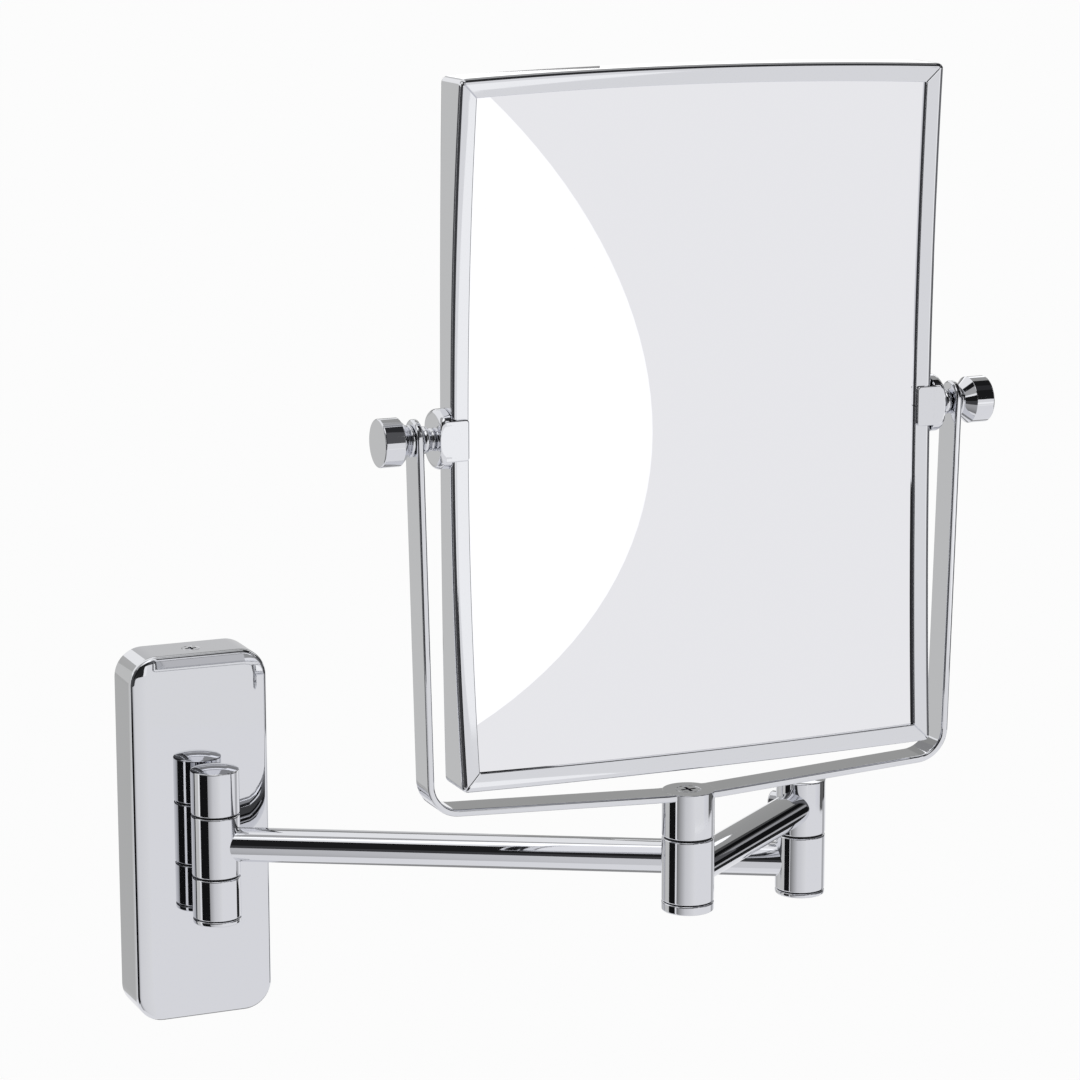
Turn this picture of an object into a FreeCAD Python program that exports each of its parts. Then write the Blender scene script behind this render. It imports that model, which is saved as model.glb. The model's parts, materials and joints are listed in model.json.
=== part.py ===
"""Wall-mounted, double-sided makeup mirror on a folding swing arm, in millimetres.

The origin is the middle of the wall plate's back face. The wall is the plane y = 0,
+X runs to the right along the wall, -Y points into the room and +Z is up.
"""
import FreeCAD
import Part
import math
import os

Vector = FreeCAD.Vector
UP = Vector(0, 0, 1)
RIGHT = Vector(1, 0, 0)
BACK = Vector(0, 1, 0)

# Wall plate
plate_width = 50.0
plate_height = 132.0
plate_depth = 19.2
plate_corner_radius = 10.0
plate_edge_radius = 2.0
plate_crown_radius = 520.0
cover_wall = 1.6

# Wall bracket inside the plate
bracket_thickness = 2.5
bracket_clearance = 0.3
bracket_width = 24.0
bracket_flange_gap = 2.0
wall_screw_spacing = 84.0
wall_screw_hole = 5.0

# Screws
cover_screw_head = 6.4
cover_screw_shank = 3.4
cover_screw_length = 7.0
cover_screw_cross = 4.0
knuckle_screw_head = 8.5
knuckle_screw_head_height = 2.6
knuckle_screw_shank = 5.0
knuckle_screw_grip = 4.4
yoke_screw_head = 8.0
yoke_screw_shank = 4.6
yoke_screw_length = 8.0
yoke_screw_cross = 5.0
elbow_screw_head = 7.0
elbow_screw_stand = 2.6
elbow_screw_shank = 4.0
slot_width = 1.1
slot_depth = 1.1
thread_clearance = 0.02

# Hinge barrels and pins
barrel_diameter = 17.0
barrel_edge_radius = 0.5
barrel_crown = 1.2
pin_diameter = 8.0
pin_running_clearance = 0.05
pin_seat_clearance = 0.02
pin_end_cover = 3.0
bush_wall = 1.0
washer_gap = 0.6
washer_play = 0.02
washer_recess = 0.8
cap_groove = 0.3
cap_floor = 0.9

# Wall hinge
hinge_offset = 1.6
hinge_stand_off = 9.8
wall_barrel_height = 21.6
upper_knuckle_height = 15.6
lower_knuckle_height = 14.6
wall_cap_height = 1.7
knuckle_boss_diameter = 9.0

# Inner arm and elbow
arm_tube_diameter = 12.0
arm_tube_wall = 1.5
inner_arm_length = 203.2
inner_arm_swing = 28.7
elbow_lower_height = 19.3
elbow_upper_height = 18.7
elbow_cap_height = 1.5

# Outer arm and post
outer_arm_length = 88.9
outer_arm_fold = 112.5
post_barrel_height = 20.9
post_barrel_rise = 1.2
post_cap_height = 3.0
swivel_post_height = 12.7

# Yoke
strip_depth = 11.0
strip_thickness = 2.3
strip_edge_radius = 0.8
strip_end_flat = 0.2
under_mirror_gap = 8.45
yoke_end_rise = 6.6
yoke_splay = 3.0
yoke_bar_rise = 4.3
yoke_corner_radius = 11.0

# Mirror frame
frame_width = 163.7
frame_height = 219.0
side_bow = 1.1
end_bow = 1.7
frame_corner_radius = 1.9
frame_edge_radius = 1.7
frame_wall = 1.2
bezel_width = 5.8
bezel_corner_radius = 0.6
front_lip = 1.5
rear_lip = 1.0
seam_gap = 0.2
mitre_width = 0.3
mitre_depth = 0.3

# Glasses between the bezels
magnifier_radius = 1000.0
glass_thickness = 1.8
glass_gap = 0.1
glass_edge_gap = 0.4
pad_thickness = 0.8

# Pivot lugs, collars and knobs
tab_thickness = 1.3
tab_height = 12.8
tab_overlap = 0.3
lug_gap = 0.1
lug_thickness = 4.0
lug_chamfer = 1.0
collar_diameter = 8.5
collar_length = 2.9
collar_edge_radius = 1.1
bead_diameter = 7.2
bead_length = 1.6
bead_edge_radius = 0.6
pivot_play = 0.25
stud_diameter = 5.0
stud_clearance = 0.05
stud_floor = 0.7
knob_diameter = 15.0
knob_face_length = 6.4
knob_cone_length = 3.2
knob_edge_radius = 0.5
knob_washer_diameter = 10.0
knob_washer_thickness = 1.0
knob_stud_depth = 6.0

# Places that follow from the sizes above
barrel_radius = barrel_diameter / 2
pin_radius = pin_diameter / 2
bush_radius = pin_radius + pin_running_clearance + bush_wall
stud_radius = stud_diameter / 2
plate_face = -plate_depth
hinge_y = plate_face - hinge_stand_off
hinge_point = Vector(hinge_offset, hinge_y, 0)
inner_angle = math.radians(-inner_arm_swing)
inner_direction = Vector(math.cos(inner_angle), math.sin(inner_angle), 0)
elbow_point = hinge_point + inner_direction * inner_arm_length
outer_angle = inner_angle - math.radians(outer_arm_fold)
outer_direction = Vector(math.cos(outer_angle), math.sin(outer_angle), 0)
post_point = elbow_point + outer_direction * outer_arm_length

wall_barrel_top = wall_barrel_height / 2
upper_knuckle_base = wall_barrel_top + washer_gap
upper_knuckle_top = upper_knuckle_base + upper_knuckle_height
lower_knuckle_top = -wall_barrel_top - washer_gap
lower_knuckle_base = lower_knuckle_top - lower_knuckle_height
wall_cap_top = lower_knuckle_base - cap_groove
elbow_lower_top = elbow_lower_height / 2
elbow_upper_base = elbow_lower_top + washer_gap
elbow_upper_top = elbow_upper_base + elbow_upper_height
elbow_cap_top = -elbow_lower_top - cap_groove
outer_arm_level = elbow_upper_base + elbow_upper_height / 2
post_barrel_base = outer_arm_level + post_barrel_rise - post_barrel_height / 2
post_barrel_top = post_barrel_base + post_barrel_height
swivel_post_base = post_barrel_top + washer_gap
swivel_post_top = swivel_post_base + swivel_post_height
post_cap_top = post_barrel_base - cap_groove
yoke_pivot_height = frame_height / 2 + end_bow + under_mirror_gap + strip_thickness
pivot_level = swivel_post_top + yoke_pivot_height
head_point = Vector(post_point.x, post_point.y, pivot_level)


def sphere_sag(distance):
    """Depth of the magnifier's sphere at a distance from its middle."""
    return magnifier_radius - math.sqrt(magnifier_radius ** 2 - distance ** 2)


# Depth of the mirror frame: the glasses are stacked from the front lip to the rear lip
core_depth = front_lip + 2 * glass_thickness + 4 * glass_gap + pad_thickness + rear_lip
side_reach = frame_width / 2 + side_bow
side_depth = core_depth + sphere_sag(side_reach)
frame_rear = side_depth / 2
rim_vertex = frame_rear - core_depth
sphere_centre = Vector(0, rim_vertex - magnifier_radius, 0)
frame_front = rim_vertex - sphere_sag(math.hypot(frame_width, frame_height) / 2)

# Stack along the pivot axis, from the frame's side outwards
lug_inner = side_reach + lug_gap
lug_outer = lug_inner + lug_thickness
bead_outer = lug_outer + bead_length
collar_outer = bead_outer + collar_length
yoke_inner = collar_outer + pivot_play
yoke_outer = yoke_inner + strip_thickness
knob_washer_inner = yoke_outer + pivot_play
knob_inner = knob_washer_inner + knob_washer_thickness
knob_face = knob_inner + knob_cone_length + knob_face_length
flat_reach = side_depth / 2 + lug_gap + tab_thickness
lug_radius = math.hypot(flat_reach, tab_height / 2)

# How far a cut runs past what it cuts
overrun = frame_width / 4


def disc(radius, point, height, axis=UP):
    """A solid cylinder."""
    return Part.makeCylinder(radius, height, point, axis)


def slab(low, high):
    """A box between two corners."""
    size = high - low
    return Part.makeBox(size.x, size.y, size.z, low)


def at_level(point, level):
    """The point moved to a height."""
    return Vector(point.x, point.y, level)


def edges_where(shape, test):
    """The edges whose middle point passes a test."""
    picked = []
    for edge in shape.Edges:
        if edge.Degenerated:
            continue
        middle = edge.valueAt((edge.FirstParameter + edge.LastParameter) / 2)
        if test(edge, middle):
            picked.append(edge)
    return picked


def runs_along(edge, axis):
    """True for a straight edge along an axis."""
    if not isinstance(edge.Curve, Part.Line):
        return False
    return abs(abs(edge.Curve.Direction.dot(axis)) - 1) < 1e-6


def turned(points):
    """A solid of revolution about Z from (radius, height) points."""
    corners = [Vector(radius, 0, height) for radius, height in points]
    outline = Part.makePolygon(corners + corners[:1])
    return Part.Face(outline).revolve(Vector(), UP, 360)


def barrel(point, base, top):
    """A barrel with rounded end edges."""
    body = disc(barrel_radius, at_level(point, base), top - base)
    rims = edges_where(body, lambda edge, middle: isinstance(edge.Curve, Part.Circle))
    return body.makeFillet(barrel_edge_radius, rims)


def crowned_barrel(point, base, top):
    """A barrel whose top is a shallow dome."""
    body = disc(barrel_radius, at_level(point, base), top - base)
    dome_radius = (barrel_radius ** 2 + barrel_crown ** 2) / (2 * barrel_crown)
    dome_centre = at_level(point, top + barrel_crown - dome_radius)
    tall = disc(barrel_radius, at_level(point, base), top - base + barrel_crown)
    dome = Part.makeSphere(dome_radius, dome_centre)
    body = body.fuse(tall.common(dome)).removeSplitter()
    rims = edges_where(body, lambda edge, middle: isinstance(edge.Curve, Part.Circle))
    return body.makeFillet(barrel_edge_radius, rims)


def pin_hole(point, base, top, clearance):
    """The bore for a hinge pin."""
    return disc(pin_radius + clearance, at_level(point, base), top - base)


def hinge_bush(point, base, top):
    """A plain bush that lines a running barrel."""
    outer = disc(bush_radius - pin_seat_clearance, at_level(point, base), top - base)
    return outer.cut(pin_hole(point, base, top, pin_running_clearance))


def hinge_washer(point, base):
    """A thin washer in the gap between two barrels."""
    height = washer_gap - 2 * washer_play
    seat = at_level(point, base + washer_play)
    outer = disc(barrel_radius - washer_recess, seat, height)
    return outer.cut(pin_hole(point, base, base + washer_gap, pin_running_clearance))


def hinge_cap(point, top, height):
    """The cap that closes the lower end of a hinge and holds its pin."""
    body = barrel(point, top - height, top)
    return body.cut(pin_hole(point, top - height + cap_floor, top, pin_seat_clearance))


def hinge_pin(point, base, top):
    """A plain steel pin."""
    return disc(pin_radius, at_level(point, base), top - base)


def screw_slot(length):
    """A slot along X to cut into a screw head whose face is at height 0."""
    corner = Vector(length / 2, slot_width / 2, 0)
    return slab(Vector(-corner.x, -corner.y, -slot_depth), at_level(corner, overrun))


def cross_recess(length):
    """Two slots that cross."""
    across = screw_slot(length)
    along = screw_slot(length)
    along.rotate(Vector(), UP, 90)
    return across.fuse(along)


def countersunk_screw(head_diameter, shank_diameter, length, cross):
    """A cross-head countersunk screw, upright, with its flat face at height 0."""
    cone = (head_diameter - shank_diameter) / 2
    radius = head_diameter / 2
    shank = shank_diameter / 2
    body = turned([(0, 0), (radius, 0), (shank, -cone), (shank, -length), (0, -length)])
    return body.cut(cross_recess(cross))


def countersunk_hole(head_diameter, shank_diameter, depth):
    """The seat for a countersunk screw, with its mouth at height 0."""
    radius = head_diameter / 2 + thread_clearance
    shank = shank_diameter / 2 + thread_clearance
    cone = radius - shank
    return turned([(0, 0), (radius, 0), (shank, -cone), (shank, -depth), (0, -depth)])


def moved(shape, offset):
    """A moved copy."""
    copy = shape.copy()
    copy.translate(offset)
    return copy


# Wall plate

def rounded_prism(width, height, radius, front, back):
    """A rounded rectangle in the wall plane, extruded from front to back."""
    block = slab(Vector(-width / 2, front, -height / 2), Vector(width / 2, back, height / 2))
    return block.makeFillet(radius, edges_where(block, lambda edge, middle: runs_along(edge, BACK)))


def plate_block(inset):
    """The plate's outer form, or the same form moved in by a wall."""
    crown = plate_crown_radius - inset
    face = plate_face + inset
    block = rounded_prism(plate_width - 2 * inset, plate_height - 2 * inset,
                          plate_corner_radius - inset, face, 0)
    axis_foot = Vector(0, face + crown, -plate_height)
    return block.common(disc(crown, axis_foot, 2 * plate_height))


def cover_form():
    """The plate's outer form with its front edge rounded."""
    block = plate_block(0)

    def on_front(edge, middle):
        return middle.y < -plate_depth / 2 and not runs_along(edge, BACK)
    return block.makeFillet(plate_edge_radius, edges_where(block, on_front))


def cover_screw_seat():
    """The middle of the cover screw's face, on the plate's top side."""
    return Vector(0, plate_face / 2, plate_height / 2)


def knuckle_screw_levels():
    """The heights of the two screws that hold the fixed knuckles."""
    return [(upper_knuckle_base + upper_knuckle_top) / 2, (lower_knuckle_base + lower_knuckle_top) / 2]


def cover_plate():
    """The hollow cover, open at the wall."""
    shell = cover_form().cut(plate_block(cover_wall))
    seat = countersunk_hole(cover_screw_head, cover_screw_shank, cover_screw_length)
    shell = shell.cut(moved(seat, cover_screw_seat()))
    for level in knuckle_screw_levels():
        start = Vector(hinge_offset, plate_face - overrun, level)
        shell = shell.cut(disc(knuckle_screw_shank / 2 + thread_clearance, start, 2 * overrun, BACK))
        inside = Vector(hinge_offset, plate_face + cover_wall, level)
        shell = shell.cut(disc(knuckle_screw_head / 2 + thread_clearance, inside, overrun, BACK))
    return shell


def wall_bracket():
    """The steel bracket: a strip on the wall with a flange at each end for the cover."""
    half_width = bracket_width / 2
    half_height = plate_height / 2 - cover_wall - bracket_clearance
    front = plate_face + cover_wall + bracket_flange_gap
    body = slab(Vector(-half_width, -bracket_thickness, -half_height), Vector(half_width, 0, half_height))
    for side in (-1, 1):
        low, high = sorted((side * half_height, side * (half_height - bracket_thickness)))
        body = body.fuse(slab(Vector(-half_width, front, low), Vector(half_width, 0, high)))
        start = Vector(0, -plate_depth, side * wall_screw_spacing / 2)
        body = body.cut(disc(wall_screw_hole / 2, start, plate_depth + overrun, BACK))
    seat = countersunk_hole(cover_screw_head, cover_screw_shank, cover_screw_length)
    return body.removeSplitter().cut(moved(seat, cover_screw_seat()))


def cover_screw():
    """The cross-head screw on the plate's top side."""
    screw = countersunk_screw(cover_screw_head, cover_screw_shank, cover_screw_length, cover_screw_cross)
    return moved(screw, cover_screw_seat())


def fixed_knuckle(body, level):
    """A knuckle with the boss and the threaded hole that hold it to the plate."""
    foot = Vector(hinge_offset, hinge_y, level)
    boss = disc(knuckle_boss_diameter / 2, foot, hinge_stand_off + plate_edge_radius, BACK)
    body = body.fuse(boss).cut(plate_block(0))
    reach = Vector(hinge_offset, plate_face - knuckle_screw_grip - thread_clearance, level)
    return body.cut(disc(knuckle_screw_shank / 2 + thread_clearance, reach, overrun, BACK))


def upper_knuckle():
    """The fixed knuckle above the inner arm."""
    body = crowned_barrel(hinge_point, upper_knuckle_base, upper_knuckle_top)
    body = fixed_knuckle(body, knuckle_screw_levels()[0])
    top = upper_knuckle_top - pin_end_cover + pin_seat_clearance
    return body.cut(pin_hole(hinge_point, upper_knuckle_base, top, pin_seat_clearance))


def lower_knuckle():
    """The fixed knuckle below the inner arm."""
    body = barrel(hinge_point, lower_knuckle_base, lower_knuckle_top)
    body = fixed_knuckle(body, knuckle_screw_levels()[1])
    return body.cut(pin_hole(hinge_point, lower_knuckle_base, lower_knuckle_top, pin_seat_clearance))


def knuckle_screws():
    """The two screws from inside the cover into the knuckles."""
    screws = []
    inside = plate_face + cover_wall + thread_clearance
    for level in knuckle_screw_levels():
        tip = Vector(hinge_offset, plate_face - knuckle_screw_grip, level)
        shank = disc(knuckle_screw_shank / 2, tip, inside - tip.y, BACK)
        seat = Vector(hinge_offset, inside, level)
        head = disc(knuckle_screw_head / 2, seat, knuckle_screw_head_height, BACK)
        screws.append(shank.fuse(head).removeSplitter())
    return Part.makeCompound(screws)


# Arms

def running_barrel(body, point, base, top):
    """A barrel bored for the bush that it turns on."""
    return body.cut(disc(bush_radius, at_level(point, base), top - base))


def arm_tube(start, direction, length, level):
    """A tube between two hinge axes, its ends shaped to the barrels."""
    foot = at_level(start, level)
    outer = disc(arm_tube_diameter / 2, foot, length, direction)
    inner = disc(arm_tube_diameter / 2 - arm_tube_wall, foot, length, direction)
    tube = outer.cut(inner)
    for end in (start, start + direction * length):
        tube = tube.cut(disc(barrel_radius, at_level(end, level - overrun), 2 * overrun))
    return tube


def inner_wall_barrel():
    """The inner arm's barrel at the wall."""
    body = barrel(hinge_point, -wall_barrel_top, wall_barrel_top)
    return running_barrel(body, hinge_point, -wall_barrel_top, wall_barrel_top)


def inner_elbow_barrel():
    """The inner arm's barrel at the elbow."""
    body = barrel(elbow_point, -elbow_lower_top, elbow_lower_top)
    return running_barrel(body, elbow_point, -elbow_lower_top, elbow_lower_top)


def wall_hinge_washers():
    """The washers above and below the inner arm's wall barrel."""
    upper = hinge_washer(hinge_point, wall_barrel_top)
    lower = hinge_washer(hinge_point, lower_knuckle_top)
    return Part.makeCompound([upper, lower])


def elbow_screw_axis():
    """The direction in which the elbow's friction screw stands out, square to the outer arm."""
    return Vector(outer_direction.y, -outer_direction.x, 0)


def outer_elbow_barrel():
    """The outer arm's barrel at the elbow, which holds the elbow pin."""
    body = crowned_barrel(elbow_point, elbow_upper_base, elbow_upper_top)
    top = elbow_upper_top - pin_end_cover + pin_seat_clearance
    body = body.cut(pin_hole(elbow_point, elbow_upper_base, top, pin_seat_clearance))
    centre = at_level(elbow_point, outer_arm_level)
    return body.cut(disc(elbow_screw_shank / 2 + thread_clearance, centre, overrun, elbow_screw_axis()))


def elbow_screw():
    """The slotted friction screw in the elbow's upper barrel."""
    axis = elbow_screw_axis()
    centre = at_level(elbow_point, outer_arm_level)
    inner_end = pin_radius + pin_running_clearance
    outer_end = barrel_radius + elbow_screw_stand
    shank = disc(elbow_screw_shank / 2, centre + axis * inner_end, outer_end - inner_end, axis)
    head = disc(elbow_screw_head / 2, centre, outer_end, axis)
    head = head.cut(disc(barrel_radius, at_level(elbow_point, elbow_upper_base), elbow_upper_height))
    slot = screw_slot(2 * elbow_screw_head)
    slot.rotate(Vector(), BACK, 90)
    slot.rotate(Vector(), UP, math.degrees(math.atan2(axis.y, axis.x)))
    return shank.fuse(head).removeSplitter().cut(moved(slot, centre + axis * outer_end))


def outer_post_barrel():
    """The outer arm's barrel at the post."""
    body = barrel(post_point, post_barrel_base, post_barrel_top)
    return running_barrel(body, post_point, post_barrel_base, post_barrel_top)


# Yoke

def yoke_screw_seat():
    """The middle of the yoke screw's face."""
    return at_level(post_point, swivel_post_top + strip_thickness)


def swivel_pin_top():
    """The top of the swivel pin, clear of the yoke screw's tip."""
    return swivel_post_top + strip_thickness - yoke_screw_length - cap_floor


def swivel_post():
    """The post under the yoke, which holds the swivel pin."""
    body = barrel(post_point, swivel_post_base, swivel_post_top)
    pin_end = swivel_pin_top() + thread_clearance
    body = body.cut(pin_hole(post_point, swivel_post_base, pin_end, pin_seat_clearance))
    tip = at_level(post_point, yoke_screw_seat().z - yoke_screw_length - thread_clearance)
    return body.cut(disc(yoke_screw_shank / 2 + thread_clearance, tip, overrun))


def line_meet(point, slope_point, other, other_slope_point):
    """Where two lines in the XZ plane meet, each given by two (x, z) points."""
    ax, az = point
    bx, bz = slope_point[0] - ax, slope_point[1] - az
    cx, cz = other
    dx, dz = other_slope_point[0] - cx, other_slope_point[1] - cz
    share = ((cx - ax) * dz - (cz - az) * dx) / (bx * dz - bz * dx)
    return ax + share * bx, az + share * bz


def yoke_outline(inset):
    """Three (x, z) points of the yoke's right half about the pivot, moved in by an inset.

    They are the end of the flat on the post, the corner, and the end of the arm.
    """
    lean = yoke_splay / yoke_pivot_height
    rise = yoke_bar_rise / (yoke_outer - barrel_radius)
    arm_shift = inset * math.hypot(1, lean)
    bar_shift = inset * math.hypot(1, rise)
    arm_top = (yoke_outer - arm_shift + lean * yoke_end_rise, yoke_end_rise)
    arm_low = (yoke_outer - arm_shift - yoke_splay, -yoke_pivot_height)
    bar_start = (barrel_radius, bar_shift - yoke_pivot_height)
    bar_end = (yoke_outer, bar_shift - yoke_pivot_height + yoke_bar_rise)
    flat_middle = (0.0, inset - yoke_pivot_height)
    flat_side = (barrel_radius, inset - yoke_pivot_height)
    flat_end = line_meet(bar_start, bar_end, flat_middle, flat_side)
    corner = line_meet(arm_top, arm_low, bar_start, bar_end)
    return flat_end, corner, arm_top


def yoke():
    """The bent strip that carries the mirror, with a round eye over the post."""
    outer = yoke_outline(0)
    inner = yoke_outline(strip_thickness)
    right = [outer[0], outer[1], outer[2], inner[2], inner[1], inner[0]]
    left = [(-x, z) for x, z in reversed(right)]
    corners = [Vector(x, -strip_depth / 2, z) for x, z in right + left]
    strip = Part.Face(Part.makePolygon(corners + corners[:1])).extrude(BACK * strip_depth)

    def at_corner(points):
        def test(edge, middle):
            near = abs(abs(middle.x) - points[1][0]) + abs(middle.z - points[1][1])
            return runs_along(edge, BACK) and near < 1e-3
        return test
    inner_radius = yoke_corner_radius - strip_thickness
    strip = strip.makeFillet(yoke_corner_radius, edges_where(strip, at_corner(outer)))
    strip = strip.makeFillet(inner_radius, edges_where(strip, at_corner(inner)))
    round_end = (strip_depth - strip_end_flat) / 2

    def at_arm_end(edge, middle):
        short = edge.Length < 2 * strip_thickness
        return short and middle.z > yoke_end_rise / 2 and abs(middle.y) > round_end
    strip = strip.makeFillet(round_end, edges_where(strip, at_arm_end))

    def on_long_side(edge, middle):
        return abs(middle.y) > strip_depth / 2 - 1e-3 and edge.Length > strip_thickness
    strip = strip.makeFillet(strip_edge_radius, edges_where(strip, on_long_side))
    eye = disc(barrel_radius, Vector(0, 0, -yoke_pivot_height), strip_thickness)
    strip = strip.fuse(eye).removeSplitter()
    hole = stud_radius + stud_clearance
    strip = strip.cut(disc(hole, Vector(-2 * yoke_outer, 0, 0), 4 * yoke_outer, RIGHT))
    strip = moved(strip, head_point)
    seat = countersunk_hole(yoke_screw_head, yoke_screw_shank, yoke_screw_length)
    return strip.cut(moved(seat, yoke_screw_seat()))


def yoke_screw():
    """The cross-head screw that holds the yoke to the post."""
    screw = countersunk_screw(yoke_screw_head, yoke_screw_shank, yoke_screw_length, yoke_screw_cross)
    return moved(screw, yoke_screw_seat())


# Mirror head, built about the pivot axis

def bowed_prism(inset, front, back, corner_radius):
    """A rectangle with gently bowed sides, moved in by an inset and extruded from front to back."""
    half_width = frame_width / 2 - inset
    half_height = frame_height / 2 - inset
    corners = [(-1, -1), (1, -1), (1, 1), (-1, 1)]
    bulges = [(0, -1), (1, 0), (0, 1), (-1, 0)]
    edges = []
    for index, bulge in enumerate(bulges):
        start = corners[index]
        end = corners[(index + 1) % 4]
        begin = Vector(start[0] * half_width, front, start[1] * half_height)
        finish = Vector(end[0] * half_width, front, end[1] * half_height)
        middle = Vector(bulge[0] * (half_width + side_bow), front, bulge[1] * (half_height + end_bow))
        edges.append(Part.Arc(begin, middle, finish).toShape())
    prism = Part.Face(Part.Wire(edges)).extrude(BACK * (back - front))
    return prism.makeFillet(corner_radius, edges_where(prism, lambda edge, middle: runs_along(edge, BACK)))


def front_sphere(depth):
    """The ball of air in front of the head, deepened behind the rim's surface."""
    return Part.makeSphere(magnifier_radius + depth, sphere_centre)


def frame_block():
    """The head's outer form: bowed sides, flat back, hollow front and rounded edges."""
    block = bowed_prism(0, frame_front - overrun, frame_rear, frame_corner_radius).cut(front_sphere(0))

    def on_rim(edge, middle):
        return not runs_along(edge, BACK)
    return block.makeFillet(frame_edge_radius, edges_where(block, on_rim))


def mitre_grooves():
    """Thin grooves along the corner joints of the front and rear bezels."""
    reach = 2 * math.hypot(bezel_width, bezel_width)
    front = Vector(-reach, frame_front - overrun, -mitre_width / 2)
    back = Vector(reach, frame_rear + overrun, mitre_width / 2)
    behind = slab(Vector(-frame_width, frame_rear - mitre_depth, -frame_height),
                  Vector(frame_width, frame_rear + overrun, frame_height))
    grooves = []
    for side_x in (-1, 1):
        for side_z in (-1, 1):
            plate = slab(front, back)
            plate.rotate(Vector(), BACK, -45 * side_x * side_z)
            plate.translate(Vector(side_x * frame_width / 2, 0, side_z * frame_height / 2))
            grooves.append(plate.common(front_sphere(mitre_depth)))
            grooves.append(plate.common(behind))
    return grooves


def frame_ring():
    """The whole frame: a channel with a front and a rear bezel."""
    hollow_radius = max(frame_corner_radius - frame_wall, bezel_corner_radius)
    hollow = bowed_prism(frame_wall, frame_front - overrun, frame_rear - rear_lip, hollow_radius)
    hollow = hollow.cut(front_sphere(front_lip))
    window = bowed_prism(bezel_width, frame_front - overrun, frame_rear + overrun, bezel_corner_radius)
    ring = frame_block().cut(hollow).cut(window)
    for groove in mitre_grooves():
        ring = ring.cut(groove)
    return ring


def frame_half(ring, side):
    """The frame's half above (1) or below (-1) the pivot axis."""
    reach = frame_width + frame_height
    low, high = sorted((side * seam_gap / 2, side * reach))
    return ring.common(slab(Vector(-reach, -reach, low), Vector(reach, reach, high)))


def glass_prism(front, back):
    """The outline of the glasses, from front to back."""
    inset = frame_wall + glass_edge_gap
    return bowed_prism(inset, front, back, bezel_corner_radius)


def magnifying_glass():
    """The concave glass behind the front bezel."""
    face = front_lip + glass_gap
    blank = glass_prism(frame_front - overrun, frame_rear)
    return blank.common(front_sphere(face + glass_thickness)).cut(front_sphere(face))


def plain_glass():
    """The flat glass behind the rear bezel."""
    back = frame_rear - rear_lip - glass_gap
    return glass_prism(back - glass_thickness, back)


def backing_pad():
    """The pad that fills the space between the two glasses."""
    back = frame_rear - rear_lip - 2 * glass_gap - glass_thickness
    face = front_lip + 2 * glass_gap + glass_thickness
    return glass_prism(frame_front - overrun, back).cut(front_sphere(face))


def along_pivot(points):
    """A solid turned about the pivot axis from (radius, distance to the right) points."""
    body = turned(points)
    body.rotate(Vector(), BACK, 90)
    return body


def lug():
    """The right lug: a flattened disc on the frame's side with a tab over each bezel."""
    chamfer_start = lug_outer - lug_chamfer
    body = along_pivot([(0, lug_inner), (lug_radius, lug_inner), (lug_radius, chamfer_start),
                        (lug_radius - lug_chamfer, lug_outer), (0, lug_outer)])
    reach = 2 * lug_radius
    body = body.common(slab(Vector(0, -flat_reach, -reach), Vector(2 * lug_outer, flat_reach, reach)))
    tab_end = side_reach - bezel_width - tab_overlap
    for side in (-1, 1):
        low, high = sorted((side * (side_depth / 2 + lug_gap), side * flat_reach))
        tab_start = lug_inner + lug_thickness / 2
        tab = slab(Vector(tab_end, low, -tab_height / 2), Vector(tab_start, high, tab_height / 2))
        body = body.fuse(tab)
    seat = disc(stud_radius + stud_clearance, Vector(lug_inner + stud_floor, 0, 0), lug_outer, RIGHT)
    return body.removeSplitter().cut(seat)


def rounded_bead(radius, start, end, edge_radius):
    """A short cylinder on the pivot axis with rounded edges."""
    body = disc(radius, Vector(start, 0, 0), end - start, RIGHT)
    rims = edges_where(body, lambda edge, middle: isinstance(edge.Curve, Part.Circle))
    return body.makeFillet(edge_radius, rims)


def collar():
    """The right collar: a small bead and a ball-shaped bead between the lug and the yoke."""
    bead = rounded_bead(bead_diameter / 2, lug_outer, bead_outer, bead_edge_radius)
    ball = rounded_bead(collar_diameter / 2, bead_outer, collar_outer, collar_edge_radius)
    bore = disc(stud_radius + stud_clearance, Vector(), 2 * collar_outer, RIGHT)
    return bead.fuse(ball).cut(bore)


def knob():
    """The right knob: a flat-faced drum with a cone towards the yoke."""
    radius = knob_diameter / 2
    cone_end = knob_inner + knob_cone_length
    body = along_pivot([(0, knob_inner), (radius - knob_cone_length, knob_inner), (radius, cone_end),
                        (radius, knob_face), (0, knob_face)])

    def at_face(edge, middle):
        return isinstance(edge.Curve, Part.Circle) and edge.BoundBox.XMin > knob_face - knob_edge_radius
    body = body.makeFillet(knob_edge_radius, edges_where(body, at_face))
    depth = knob_inner + knob_stud_depth + thread_clearance
    return body.cut(disc(stud_radius + thread_clearance, Vector(), depth, RIGHT))


def knob_washer():
    """The washer between the right knob and the yoke."""
    outer = disc(knob_washer_diameter / 2, Vector(knob_washer_inner, 0, 0), knob_washer_thickness, RIGHT)
    return outer.cut(disc(stud_radius + thread_clearance, Vector(), 2 * knob_inner, RIGHT))


def stud():
    """The right pivot stud, from the knob through the yoke into the lug."""
    start = lug_inner + stud_floor + stud_clearance
    return disc(stud_radius, Vector(start, 0, 0), knob_inner + knob_stud_depth - start, RIGHT)


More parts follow.
